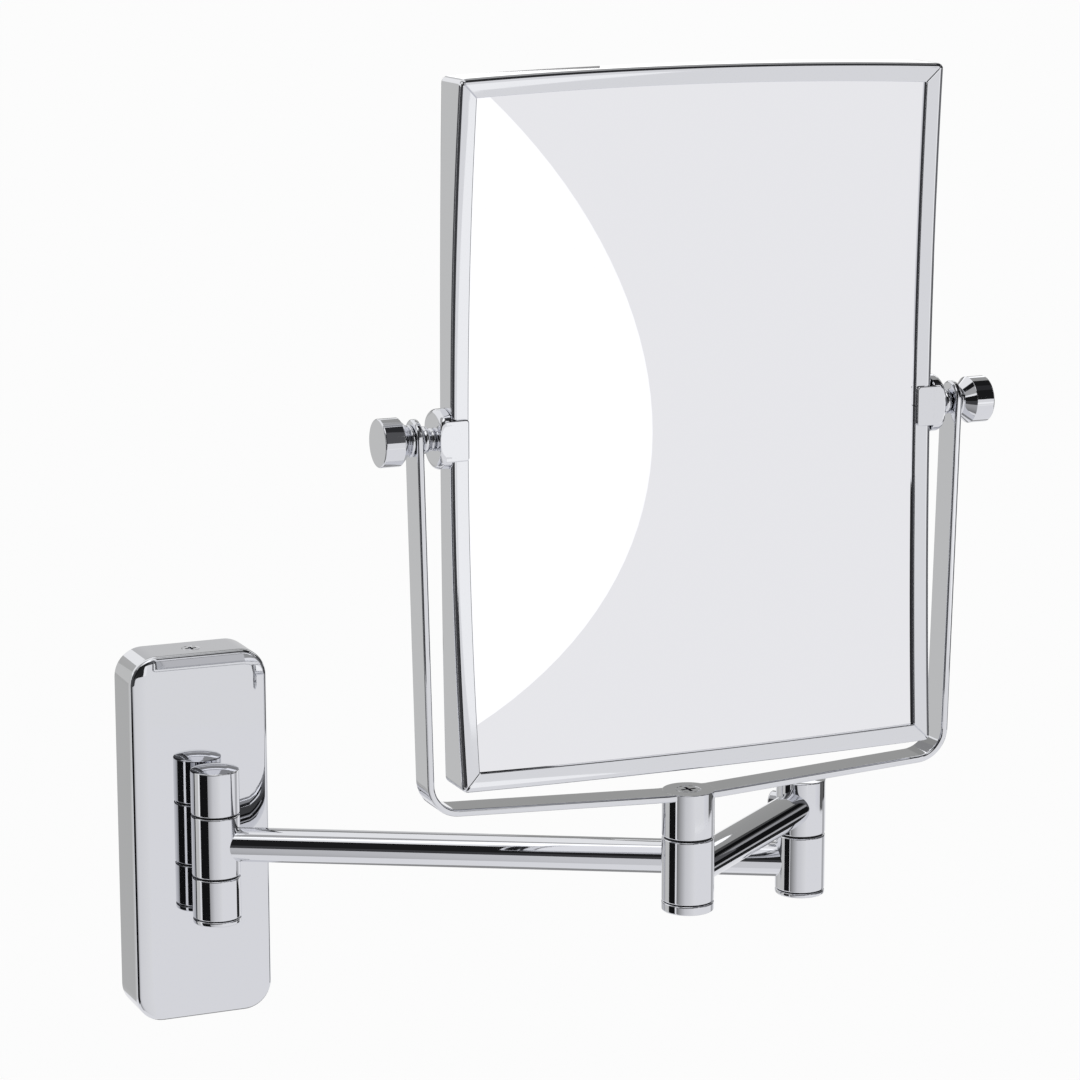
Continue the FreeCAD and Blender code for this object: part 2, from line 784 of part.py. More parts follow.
def build():
    """Every sub-part by node name."""
    ring = frame_ring()
    head = {
        "frame_upper_half": frame_half(ring, 1),
        "frame_lower_half": frame_half(ring, -1),
        "magnifying_glass": magnifying_glass(),
        "plain_glass": plain_glass(),
        "backing_pad": backing_pad(),
    }
    pivot_pieces = {
        "lug": lug(),
        "collar": collar(),
        "knob": knob(),
        "knob_washer": knob_washer(),
        "stud": stud(),
    }
    for name, shape in pivot_pieces.items():
        head["right_" + name] = shape
        head["left_" + name] = shape.mirror(Vector(), RIGHT)
    pieces = {
        "wall_bracket": wall_bracket(),
        "cover_plate": cover_plate(),
        "cover_screw": cover_screw(),
        "upper_knuckle": upper_knuckle(),
        "lower_knuckle": lower_knuckle(),
        "knuckle_screws": knuckle_screws(),
        "wall_hinge_pin": hinge_pin(hinge_point, wall_cap_top - wall_cap_height + cap_floor,
                                    upper_knuckle_top - pin_end_cover),
        "wall_hinge_cap": hinge_cap(hinge_point, wall_cap_top, wall_cap_height),
        "wall_hinge_washers": wall_hinge_washers(),
        "wall_hinge_bush": hinge_bush(hinge_point, -wall_barrel_top, wall_barrel_top),
        "inner_wall_barrel": inner_wall_barrel(),
        "inner_arm_tube": arm_tube(hinge_point, inner_direction, inner_arm_length, 0),
        "inner_elbow_barrel": inner_elbow_barrel(),
        "elbow_bush": hinge_bush(elbow_point, -elbow_lower_top, elbow_lower_top),
        "elbow_washer": hinge_washer(elbow_point, elbow_lower_top),
        "elbow_pin": hinge_pin(elbow_point, elbow_cap_top - elbow_cap_height + cap_floor,
                               elbow_upper_top - pin_end_cover),
        "elbow_cap": hinge_cap(elbow_point, elbow_cap_top, elbow_cap_height),
        "elbow_screw": elbow_screw(),
        "outer_elbow_barrel": outer_elbow_barrel(),
        "outer_arm_tube": arm_tube(elbow_point, outer_direction, outer_arm_length, outer_arm_level),
        "outer_post_barrel": outer_post_barrel(),
        "post_bush": hinge_bush(post_point, post_barrel_base, post_barrel_top),
        "post_washer": hinge_washer(post_point, post_barrel_top),
        "post_cap": hinge_cap(post_point, post_cap_top, post_cap_height),
        "swivel_pin": hinge_pin(post_point, post_cap_top - post_cap_height + cap_floor, swivel_pin_top()),
        "swivel_post": swivel_post(),
        "yoke": yoke(),
        "yoke_screw": yoke_screw(),
    }
    for name, shape in head.items():
        pieces[name] = moved(shape, head_point)
    return pieces


def main():
    """Writes one STEP file for each sub-part."""
    os.makedirs("parts", exist_ok=True)
    for name, shape in build().items():
        shape.exportStep("parts/" + name + ".step")


main()
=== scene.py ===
"""Looks of a wall-mounted, double-sided makeup mirror on a folding swing arm.

Lengths are millimetres in the part's own frame: the wall is the plane y = 0, the room lies towards -Y and Z is up.
"""
import json
import logging
import math
from dataclasses import dataclass
from enum import Enum
from typing import Callable, Sequence

import bmesh
import bpy
from mathutils import Matrix, Vector


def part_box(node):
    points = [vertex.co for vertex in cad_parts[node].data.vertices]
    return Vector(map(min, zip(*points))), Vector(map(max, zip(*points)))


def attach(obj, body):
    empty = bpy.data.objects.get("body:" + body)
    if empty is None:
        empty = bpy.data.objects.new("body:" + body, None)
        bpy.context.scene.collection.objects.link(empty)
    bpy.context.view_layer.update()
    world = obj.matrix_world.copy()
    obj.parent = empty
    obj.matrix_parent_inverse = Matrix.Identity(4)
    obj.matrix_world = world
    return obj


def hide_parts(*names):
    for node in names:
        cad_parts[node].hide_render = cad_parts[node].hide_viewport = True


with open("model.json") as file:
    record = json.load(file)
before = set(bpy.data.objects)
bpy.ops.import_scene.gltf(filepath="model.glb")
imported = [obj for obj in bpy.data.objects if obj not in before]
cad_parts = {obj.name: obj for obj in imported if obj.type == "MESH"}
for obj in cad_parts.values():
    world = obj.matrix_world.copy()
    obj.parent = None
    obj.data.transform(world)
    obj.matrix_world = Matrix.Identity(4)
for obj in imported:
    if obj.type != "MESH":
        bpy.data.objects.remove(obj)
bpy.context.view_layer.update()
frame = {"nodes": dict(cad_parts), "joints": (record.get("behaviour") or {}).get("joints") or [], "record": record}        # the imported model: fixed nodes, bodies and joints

LOG = logging.getLogger("mirror")
MM = 0.001
X_AXIS = Vector((1, 0, 0))
UP = Vector((0, 0, 1))
TURN_STEPS = 96                                  # faces round a turned piece
ROUND_STEPS = 6                                  # faces round an edge
QUARTER = [math.pi / 2 * step / ROUND_STEPS for step in range(ROUND_STEPS + 1)]
SHARP_ANGLE = math.radians(38)
NORMAL_WEIGHT = 90                               # lets large faces lead the shading of their edges
MERGE_GAP = 2e-7                                 # metres
EMPTY_EDGE = 1e-7                                # metres
NOISE_DETAIL = 4.0
NOISE_ROUGHNESS = 0.55
NOISE_SPAN = (0.3, 0.7)                          # nearly all of the noise lies between these
MATHS = "ShaderNodeMath"
MIX_FIRST, MIX_LAST, MIX_COLOUR = 6, 7, 2        # the Mix node's colour sockets, whose names aren't unique
Point2 = tuple[float, float]
Corner = tuple[float, float, float]              # a point and the radius that rounds it


class Slot(Enum):
    """The record's material slots."""

    CHROME = "chrome"
    STEEL = "steel"
    NYLON = "nylon"
    MIRROR = "mirror_glass"
    PAD = "backing_pad"
    BRACKET = "bracket_steel"


class Side(Enum):
    """The four sides of the mirror frame, as the way each one faces."""

    TOP = (0, 1)
    RIGHT = (1, 0)
    BOTTOM = (0, -1)
    LEFT = (-1, 0)


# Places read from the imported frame

def joint_point(name: str) -> Vector:
    """A point on a joint's axis, in millimetres."""
    joint = next(item for item in frame["joints"] if item["name"] == name)
    return Vector(joint["pos_m"]) / MM


def node_span(node: str) -> tuple[Vector, Vector]:
    """The lowest and highest corners of a node's box, in millimetres."""
    low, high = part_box(node)
    return low / MM, high / MM


def node_half(node: str) -> Vector:
    """Half a node's width, depth and height."""
    low, high = node_span(node)
    return (high - low) / 2


def node_middle(node: str) -> Vector:
    """The middle of a node's box."""
    low, high = node_span(node)
    return (low + high) / 2


def tilt_span(node: str) -> Point2:
    """Where a node starts and ends along the tilt axis, measured outwards from the mirror's middle."""
    middle = joint_point("mirror_tilt").x
    return tuple(sorted(abs(corner.x - middle) for corner in node_span(node)))


# Nodes and colours

def add_node(tree: bpy.types.NodeTree, kind: str, inputs: dict | Sequence = (), **settings: object) -> bpy.types.Node:
    """Adds one node with its settings, values and links.

    Args:
        tree: The tree that gets the node.
        kind: The node's type name.
        inputs: Values, or nodes or output sockets to link, by the input's name or number, or in the inputs' order.
            A node is linked by its first output.
        **settings: Properties of the node.

    Returns:
        The new node.
    """
    node = tree.nodes.new(kind)
    for name, value in settings.items():
        setattr(node, name, value)
    for key, value in inputs.items() if isinstance(inputs, dict) else enumerate(inputs):
        source = value.outputs[0] if isinstance(value, bpy.types.Node) else value
        if isinstance(source, bpy.types.NodeSocket):
            tree.links.new(source, node.inputs[key])
        else:
            node.inputs[key].default_value = source
    return node


def linear(hex_colour: str) -> tuple[float, float, float, float]:
    """Turns an sRGB hex colour to linear light.

    Args:
        hex_colour: A colour such as "#C0C0C0".

    Returns:
        Linear red, green and blue, and full alpha.
    """
    def channel(place: int) -> float:
        """One linear channel."""
        value = int(hex_colour[place:place + 2], 16) / 255
        return value / 12.92 if value <= 0.04045 else ((value + 0.055) / 1.055) ** 2.4
    return channel(1), channel(3), channel(5), 1.0


# Finishes

@dataclass(frozen=True)
class Finish:
    """A surface finish: its colour, its gloss and a fine pattern that varies the gloss, the level and the colour.

    The pattern is a noise of a real size. It reads Object coordinates, which are in metres.
    """

    name: str
    slot: Slot
    colour: str
    metallic: float
    roughness: tuple[float, float]
    pattern_mm: float
    bump_mm: float = 0.0
    stretch: tuple[float, float, float] = (1.0, 1.0, 1.0)
    colour_shift: float = 0.0

    def material(self) -> bpy.types.Material:
        """Makes the material, or finds it if it is made already.

        Returns:
            The finished material.
        """
        made = bpy.data.materials.get(self.name)
        if made is not None:
            return made
        made = bpy.data.materials.new(self.name)
        made.use_nodes = True
        tree = made.node_tree
        shader = tree.nodes["Principled BSDF"]
        base = linear(self.colour)
        shader.inputs["Base Color"].default_value = base
        shader.inputs["Metallic"].default_value = self.metallic
        place = add_node(tree, "ShaderNodeTexCoord").outputs["Object"]
        scaled = add_node(tree, "ShaderNodeMapping", {"Vector": place, "Scale": self.stretch})
        grain = add_node(tree, "ShaderNodeTexNoise", {
            "Vector": scaled, "Scale": 1 / (self.pattern_mm * MM), "Detail": NOISE_DETAIL,
            "Roughness": NOISE_ROUGHNESS}).outputs["Fac"]
        gloss = add_node(tree, "ShaderNodeMapRange", {
            "Value": grain, "From Min": NOISE_SPAN[0], "From Max": NOISE_SPAN[1],
            "To Min": self.roughness[0], "To Max": self.roughness[1]})
        tree.links.new(gloss.outputs["Result"], shader.inputs["Roughness"])
        if self.colour_shift:
            darker = [channel * (1 - self.colour_shift) for channel in base[:3]] + [1.0]
            mixed = add_node(tree, "ShaderNodeMix", {"Factor": grain, MIX_FIRST: base, MIX_LAST: darker},
                             data_type="RGBA")
            tree.links.new(mixed.outputs[MIX_COLOUR], shader.inputs["Base Color"])
        if self.bump_mm:
            bump = add_node(tree, "ShaderNodeBump", {
                "Height": grain, "Strength": 1.0, "Distance": self.bump_mm * MM})
            tree.links.new(bump.outputs["Normal"], shader.inputs["Normal"])
        return made


# Bright chrome plating over polished brass: a clear image with the faint waviness of a buffed surface
CHROME = Finish("polished_chrome_plate", Slot.CHROME, "#E2E3E7", 1.0, (0.015, 0.04), 9.0, 0.0006)
# Silvered float glass: a dead-sharp image, a shade lighter and cooler than chrome
SILVERED = Finish("silvered_mirror_glass", Slot.MIRROR, "#F7F7FA", 1.0, (0.0, 0.006), 40.0)
# Turned steel pins and screw shanks: satin, with fine rings
TURNED_STEEL = Finish("turned_steel", Slot.STEEL, "#B9BABD", 1.0, (0.18, 0.32), 0.8, 0.004, (1, 1, 6), 0.1)
# Zinc-plated sheet steel: a dull spangle a few millimetres across
ZINC = Finish("zinc_plated_sheet", Slot.BRACKET, "#B4B8BC", 1.0, (0.28, 0.5), 3.0, 0.01, colour_shift=0.22)
# Moulded black nylon washers and bushes: matt, with a faint moulded grain
NYLON = Finish("moulded_black_nylon", Slot.NYLON, "#141416", 0.0, (0.45, 0.6), 0.6, 0.01)
# Grey felt board between the glasses: dull and mottled, with a rough nap
FELT = Finish("grey_felt_board", Slot.PAD, "#5A5A5C", 0.0, (0.85, 1.0), 1.2, 0.1, colour_shift=0.35)
FINISH_OF_SLOT = {item.slot: item for item in (CHROME, SILVERED, TURNED_STEEL, ZINC, NYLON, FELT)}


# Meshes

def clean(mesh: bpy.types.Mesh) -> bpy.types.Mesh:
    """Merges doubles, drops empty faces and turns all faces outwards.

    Args:
        mesh: The mesh, which is changed.

    Returns:
        The same mesh.
    """
    work = bmesh.new()
    work.from_mesh(mesh)
    bmesh.ops.remove_doubles(work, verts=work.verts, dist=MERGE_GAP)
    bmesh.ops.dissolve_degenerate(work, edges=work.edges, dist=EMPTY_EDGE)
    bmesh.ops.recalc_face_normals(work, faces=work.faces)
    work.to_mesh(mesh)
    work.free()
    return mesh


class Sketch:
    """The points and faces of one piece, in millimetres."""

    def __init__(self) -> None:
        """Starts an empty sketch."""
        self.points: list[Vector] = []
        self.faces: list[tuple[int, ...]] = []

    def sheet(self, rows: Sequence[Sequence[Vector]], closed: bool = False) -> None:
        """Adds a sheet of four-sided faces through rows of points.

        Args:
            rows: Rows with as many points each.
            closed: True joins the last point of each row to its first.
        """
        start = len(self.points)
        width = len(rows[0])
        for row in rows:
            self.points.extend(row)
        for row in range(len(rows) - 1):
            for column in range(width if closed else width - 1):
                along = (column + 1) % width
                low = start + row * width
                high = low + width
                self.faces.append((low + column, low + along, high + along, high + column))

    def fill(self, *loops: Sequence[Vector]) -> None:
        """Adds one flat face inside each loop of points.

        Args:
            *loops: The loops.
        """
        for loop in loops:
            start = len(self.points)
            self.points.extend(loop)
            self.faces.append(tuple(range(start, start + len(loop))))

    def solid(self, rows: Sequence[Sequence[Vector]]) -> None:
        """Adds a closed sheet through rows of points and fills both its ends."""
        self.sheet(rows, closed=True)
        self.fill(rows[0], rows[-1])

    def mesh(self, merged: bool = True) -> bpy.types.Mesh:
        """Makes the mesh in metres.

        Args:
            merged: True merges its seams and turns its faces outwards. False keeps its points in their order.

        Returns:
            The new mesh.
        """
        made = bpy.data.meshes.new("sketch")
        made.from_pydata([point * MM for point in self.points], [], self.faces)
        return clean(made) if merged else made


def put_in_scene(name: str, data: bpy.types.ID) -> bpy.types.Object:
    """Makes an object at the scene's origin.

    Args:
        name: The name of the object and its data.
        data: Its mesh or camera.

    Returns:
        The new object.
    """
    data.name = name
    made = bpy.data.objects.new(name, data)
    bpy.context.scene.collection.objects.link(made)
    return made


def plain_mesh(holder: bpy.types.Object, *tools: bpy.types.Object) -> bpy.types.Mesh:
    """Keeps an object's mesh as its modifiers leave it.

    Args:
        holder: The object, which is removed.
        *tools: Objects that its modifiers use, which are removed too.

    Returns:
        The plain mesh.
    """
    made = bpy.data.meshes.new_from_object(holder.evaluated_get(bpy.context.evaluated_depsgraph_get()))
    for item in (holder, *tools):
        source = item.data
        bpy.data.objects.remove(item)
        bpy.data.meshes.remove(source)
    return clean(made)


def carve(mesh: bpy.types.Mesh, cutter: bpy.types.Mesh) -> bpy.types.Mesh:
    """Cuts a closed shape out of a closed mesh.

    Args:
        mesh: The mesh, which is removed.
        cutter: The shape to cut away, which is removed too.

    Returns:
        The cut mesh.
    """
    holder = put_in_scene("blank", mesh)
    tool = put_in_scene("cutter", cutter)
    cut = holder.modifiers.new("cut", "BOOLEAN")
    cut.operation = "DIFFERENCE"
    cut.solver = "EXACT"
    cut.object = tool
    return plain_mesh(holder, tool)


def join_meshes(*meshes: bpy.types.Mesh) -> bpy.types.Mesh:
    """Puts several meshes into one.

    Args:
        *meshes: The meshes, which are removed.

    Returns:
        The joined mesh.
    """
    work = bmesh.new()
    for mesh in meshes:
        work.from_mesh(mesh)
        bpy.data.meshes.remove(mesh)
    made = bpy.data.meshes.new("joined")
    work.to_mesh(made)
    work.free()
    return made


BODY_OF = {node: body for body, nodes in frame["record"]["behaviour"]["bodies"].items() for node in nodes}


def finish_piece(mesh: bpy.types.Mesh, node: str, finish: Finish = CHROME) -> None:
    """Turns a mesh into a piece of the object: smooth, dressed and riding on its node's body.

    Args:
        mesh: The piece's mesh, in place.
        node: The node that it stands for.
        finish: Its finish.
    """
    piece = put_in_scene(node + "_finished", mesh)
    mesh.materials.clear()
    mesh.materials.append(finish.material())
    mesh.shade_smooth()
    mesh.set_sharp_from_angle(angle=SHARP_ANGLE)
    even = piece.modifiers.new("even_normals", "WEIGHTED_NORMAL")
    even.keep_sharp = True
    even.weight = NORMAL_WEIGHT
    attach(piece, BODY_OF[node])
    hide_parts(node)
    LOG.info("%s: %d faces on %s", piece.name, len(mesh.polygons), BODY_OF[node])


def rounded(corners: Sequence[Corner], steps: int = ROUND_STEPS) -> list[Point2]:
    """Rounds the corners of an open line.

    Args:
        corners: The line's corners, each with the radius that rounds it. The two ends keep their place.
        steps: Faces in each round.

    Returns:
        The points of the rounded line.
    """
    line: list[Point2] = []
    for index, (x, y, radius) in enumerate(corners):
        here = Vector((x, y))
        if radius <= 0 or index in (0, len(corners) - 1):
            line.append((x, y))
            continue
        before = (Vector(corners[index - 1][:2]) - here).normalized()
        after = (Vector(corners[index + 1][:2]) - here).normalized()
        half = before.angle(after) / 2
        middle = here + (before + after).normalized() * (radius / math.sin(half))
        start = here + before * (radius / math.tan(half)) - middle
        end = here + after * (radius / math.tan(half)) - middle
        sweep = math.pi - 2 * half
        for step in range(steps + 1):
            share = step / steps
            spread = (start * math.sin((1 - share) * sweep) + end * math.sin(share * sweep)) / math.sin(sweep)
            line.append(tuple(middle + spread))
    return line


def quarter_round(radius: float) -> list[Point2]:
    """The insets of a quarter round from the two faces that it joins, from the second face to the first."""
    return [(radius * (1 - math.sin(turn)), radius * (1 - math.cos(turn))) for turn in QUARTER]


# Geometry Nodes trees

WHOLE, SIZE, SHAPE = "NodeSocketInt", "NodeSocketFloat", "NodeSocketGeometry"
SHARED_INPUTS = {"Geometry": SHAPE, "Steps": WHOLE, "Turn": "NodeSocketRotation", "Place": "NodeSocketVector",
                 "Material": "NodeSocketMaterial"}
StartedTree = tuple[bpy.types.NodeTree, bpy.types.NodeOutputs, bpy.types.Node]


def start_tree(name: str, sizes: dict[str, str]) -> StartedTree:
    """Starts a tree that turns a profile about Z. The profile is a line of points (radius, 0, height).

    Args:
        name: The tree's name.
        sizes: Socket types of the inputs that only this tree has, by name.

    Returns:
        The tree, its inputs by name, and the node with the turned shape.
    """
    tree = bpy.data.node_groups.new(name, "GeometryNodeTree")
    for label, kind in {**SHARED_INPUTS, **sizes}.items():
        tree.interface.new_socket(label, in_out="INPUT", socket_type=kind)
    tree.interface.new_socket("Geometry", in_out="OUTPUT", socket_type=SHAPE)
    given = add_node(tree, "NodeGroupInput").outputs
    profile, steps = given["Geometry"], given["Steps"]
    count = add_node(tree, "GeometryNodeAttributeDomainSize", {"Geometry": profile}).outputs["Point Count"]
    around = add_node(tree, MATHS, (steps, 1), operation="ADD")
    grid = add_node(tree, "GeometryNodeMeshGrid", {"Vertices X": around, "Vertices Y": count})
    index = add_node(tree, "GeometryNodeInputIndex")
    row = add_node(tree, MATHS, (index, count), operation="MODULO")
    column = add_node(tree, MATHS, [add_node(tree, MATHS, (index, count), operation="DIVIDE")], operation="FLOOR")
    where = add_node(tree, "GeometryNodeInputPosition")
    sample = add_node(tree, "GeometryNodeSampleIndex", {
        "Geometry": profile, "Value": where, "Index": row}, data_type="FLOAT_VECTOR")
    point = add_node(tree, "ShaderNodeSeparateXYZ", [sample]).outputs
    turns = add_node(tree, MATHS, (column, math.tau), operation="MULTIPLY")
    angle = add_node(tree, MATHS, (turns, steps), operation="DIVIDE")
    across = []
    for ratio in ("COSINE", "SINE"):
        share = add_node(tree, MATHS, [angle], operation=ratio)
        across.append(add_node(tree, MATHS, (point["X"], share), operation="MULTIPLY"))
    turned = add_node(tree, "ShaderNodeCombineXYZ", (*across, point["Z"]))
    moved = add_node(tree, "GeometryNodeSetPosition", {"Geometry": grid, "Position": turned})
    return tree, given, add_node(tree, "GeometryNodeMergeByDistance", {"Geometry": moved, "Distance": MERGE_GAP})


def end_tree(tree: bpy.types.NodeTree, given: bpy.types.NodeOutputs, shape: bpy.types.Node) -> bpy.types.NodeTree:
    """Ends a tree: turned and moved to its place, realized and dressed.

    Args:
        tree: The tree.
        given: Its inputs by name.
        shape: The node with the shape so far.

    Returns:
        The same tree.
    """
    placed = add_node(tree, "GeometryNodeTransform", {
        "Geometry": shape, "Translation": given["Place"], "Rotation": given["Turn"]})
    real = add_node(tree, "GeometryNodeRealizeInstances", {"Geometry": placed})
    dressed = add_node(tree, "GeometryNodeSetMaterial", {"Geometry": real, "Material": given["Material"]})
    add_node(tree, "NodeGroupOutput", {"Geometry": dressed})
    return tree


def turned_tree() -> bpy.types.NodeTree:
    """Makes the tree that only turns a profile, for barrels, caps, beads and knobs."""
    return end_tree(*start_tree("turned_piece", {}))


def screw_tree() -> bpy.types.NodeTree:
    """Makes the tree for a turned screw with one slot, or with two slots that cross.

    Returns:
        The tree.
    """
    tree, given, shape = start_tree("slotted_screw", {
        "Slots": WHOLE, "Slot Length": SIZE, "Slot Width": SIZE, "Slot Depth": SIZE})
    depth = add_node(tree, MATHS, (given["Slot Depth"], 2), operation="MULTIPLY")
    size = add_node(tree, "ShaderNodeCombineXYZ", (given["Slot Length"], given["Slot Width"], depth))
    cutter = add_node(tree, "GeometryNodeMeshCube", {"Size": size})
    spots = add_node(tree, "GeometryNodePoints", {"Count": given["Slots"]})
    index = add_node(tree, "GeometryNodeInputIndex")
    angle = add_node(tree, MATHS, (index, math.pi / 2), operation="MULTIPLY")
    turn = add_node(tree, "ShaderNodeCombineXYZ", {"Z": angle})
    slots = add_node(tree, "GeometryNodeInstanceOnPoints", {"Points": spots, "Instance": cutter, "Rotation": turn})
    solid = add_node(tree, "GeometryNodeRealizeInstances", {"Geometry": slots})
    cut = add_node(tree, "GeometryNodeMeshBoolean", {
        "Mesh 1": shape, "Mesh 2": solid, "Self Intersection": True}, operation="DIFFERENCE", solver="EXACT")
    return end_tree(tree, given, cut)


def tube_tree() -> bpy.types.NodeTree:
    """Makes the tree for a tube along Z, its ends shaped to the upright barrels that it joins.

    Returns:
        The tree. A barrel radius of 0 leaves that end flat.
    """
    tree, given, shape = start_tree("arm_tube", {"Length": SIZE, "Start Barrel": SIZE, "End Barrel": SIZE})
    where = add_node(tree, "ShaderNodeSeparateXYZ", [add_node(tree, "GeometryNodeInputPosition")]).outputs
    across = add_node(tree, MATHS, (where["Y"], where["Y"]), operation="MULTIPLY")
    insets = []
    for end in ("Start Barrel", "End Barrel"):
        reach = add_node(tree, MATHS, (given[end], given[end]), operation="MULTIPLY")
        rest = add_node(tree, MATHS, (reach, across), operation="SUBTRACT")
        insets.append(add_node(tree, MATHS, [rest], operation="SQRT"))
    share = add_node(tree, MATHS, (where["Z"], given["Length"]), operation="DIVIDE")
    both = add_node(tree, MATHS, insets, operation="ADD")
    span = add_node(tree, MATHS, (given["Length"], both), operation="SUBTRACT")
    along = add_node(tree, MATHS, (share, span, insets[0]), operation="MULTIPLY_ADD")
    point = add_node(tree, "ShaderNodeCombineXYZ", (where["X"], where["Y"], along))
    return end_tree(tree, given, add_node(tree, "GeometryNodeSetPosition", {"Geometry": shape, "Position": point}))


# Turned pieces

class ClosedEnd(Enum):
    """Which end of a barrel's bore is closed."""

    NONE = 0
    TOP = 1
    BOTTOM = 2


@dataclass(frozen=True)
class BarrelForm:
    """How a hinge barrel is turned."""

    bore: float = 4.02
    edge: float = 0.5
    top_edge: float = 0.5
    crown: float = 0.0
    closed: ClosedEnd = ClosedEnd.NONE
    cover: float = 0.9
    crown_steps: int = 10

    def profile(self, low: float, high: float, radius: float) -> list[Point2]:
        """Draws the barrel's half section.

        Args:
            low: The height of its lower end.
            high: The height of its upper end, dome and all.
            radius: Its outer radius.

        Returns:
            Points (radius, height).
        """
        wall = [(self.bore, low, 0), (radius, low, self.edge), (radius, high - self.crown, self.top_edge)]
        if self.closed is ClosedEnd.NONE:
            return rounded([*wall, (self.bore, high, 0), (self.bore, low, 0)])
        if self.closed is ClosedEnd.BOTTOM:
            floor = low + self.cover
            return rounded([(0, floor, 0), (self.bore, floor, 0), (self.bore, high, 0),
                            (radius, high, self.top_edge), (radius, low, self.edge), (0, low, 0)])
        ceiling = high - self.crown - self.cover
        dome = [(0, high, 0)]
        if self.crown:
            bend = (radius ** 2 + self.crown ** 2) / (2 * self.crown)
            spread = [(radius - 2 * self.edge) * (1 - step / self.crown_steps) for step in range(self.crown_steps)]
            dome = [(reach, high - bend + math.sqrt(bend ** 2 - reach ** 2), 0) for reach in spread] + dome
        return rounded([(0, ceiling, 0), (self.bore, ceiling, 0), *wall, *dome])


PIN_BORE = BarrelForm()
BUSH_BORE = BarrelForm(bore=5.05)
CAP = BarrelForm(closed=ClosedEnd.BOTTOM)
CROWNED = BarrelForm(closed=ClosedEnd.TOP, cover=3.0, crown=1.2)
POST = BarrelForm(closed=ClosedEnd.TOP, cover=6.6, top_edge=0.0)


class Lathe:
    """Turns profiles with the object's Geometry Nodes trees."""

    def __init__(self) -> None:
        """Makes the trees."""
        self.turned = turned_tree()
        self.screw = screw_tree()
        self.tube = tube_tree()

    def run(self, tree: bpy.types.NodeTree, profile: Sequence[Point2], place: Vector, turn: Sequence[float],
            **sizes: float) -> bpy.types.Mesh:
        """Runs a tree on a profile and keeps the result as a plain mesh.

        Args:
            tree: The tree.
            profile: Points (radius, distance along the axis).
            place: Where the distance is 0.
            turn: The axis's turn from upright, as Euler angles.
            **sizes: The tree's own inputs, a count or a size in metres, by name with _ for each space.

        Returns:
            The plain mesh.
        """
        line = bpy.data.meshes.new("profile")
        edges = [(index, index + 1) for index in range(len(profile) - 1)]
        line.from_pydata([(radius * MM, 0, height * MM) for radius, height in profile], edges, [])
        holder = put_in_scene("profile", line)
        modifier = holder.modifiers.new("shape", "NODES")
        modifier.node_group = tree
        sockets = {item.name: item.identifier for item in tree.interface.items_tree if item.in_out == "INPUT"}
        given = {"Steps": TURN_STEPS, "Turn": tuple(turn), "Place": tuple(place * MM), "Material": CHROME.material(),
                 **sizes}
        for label, value in given.items():
            modifier[sockets[label.replace("_", " ")]] = value
        holder.update_tag()
        return plain_mesh(holder)

    def turn(self, profile: Sequence[Point2], place: Vector, axis: Vector = UP) -> bpy.types.Mesh:
        """Turns a profile about an axis through a place."""
        return self.run(self.turned, profile, place, UP.rotation_difference(axis).to_euler())

    def barrel(self, node: str, axis_point: Vector, form: BarrelForm) -> bpy.types.Mesh:
        """Turns the barrel that stands for a node.

        Args:
            node: The node whose height and width the barrel takes.
            axis_point: A point on the hinge axis.
            form: How the barrel is turned.

        Returns:
            The barrel's mesh.
        """
        low, high = node_span(node)
        foot = Vector((axis_point.x, axis_point.y, 0))
        return self.turn(form.profile(low.z, high.z, (high.x - low.x) / 2), foot)

    def cut_screw(self, profile: Sequence[Point2], slots: int, slot: Vector, face: Vector,
                  axis: Vector = UP) -> bpy.types.Mesh:
        """Turns a screw and cuts its slots.

        Args:
            profile: Points (radius, distance from the face).
            slots: One slot, or two that cross.
            slot: A slot's length, width and depth.
            face: The middle of the screw's face.
            axis: The way that the face looks.

        Returns:
            The screw's mesh.
        """
        turn = UP.rotation_difference(axis).to_euler()
        return self.run(self.screw, profile, face, turn, Slots=slots, Slot_Length=slot.x * MM,
                        Slot_Width=slot.y * MM, Slot_Depth=slot.z * MM)

    def draw_tube(self, start: Vector, end: Vector, radii: Point2, barrels: Point2) -> bpy.types.Mesh:
        """Draws a level tube from one hinge axis to another point.

        Args:
            start: A point on the first axis.
            end: The tube's other end, at the same height.
            radii: The tube's outer radius, and its bore's radius or 0.
            barrels: The radius of the barrel at each end, or 0 for a flat end.

        Returns:
            The tube's mesh.
        """
        along = end - start
        outer, bore = radii
        length = along.length
        profile = [(bore, 0), (outer, 0), (outer, length), (bore, length)]
        if bore:
            profile.append(profile[0])
        turn = (0.0, math.pi / 2, math.atan2(along.y, along.x))
        return self.run(self.tube, profile, start, turn, Length=length * MM, Start_Barrel=barrels[0] * MM,
                        End_Barrel=barrels[1] * MM)


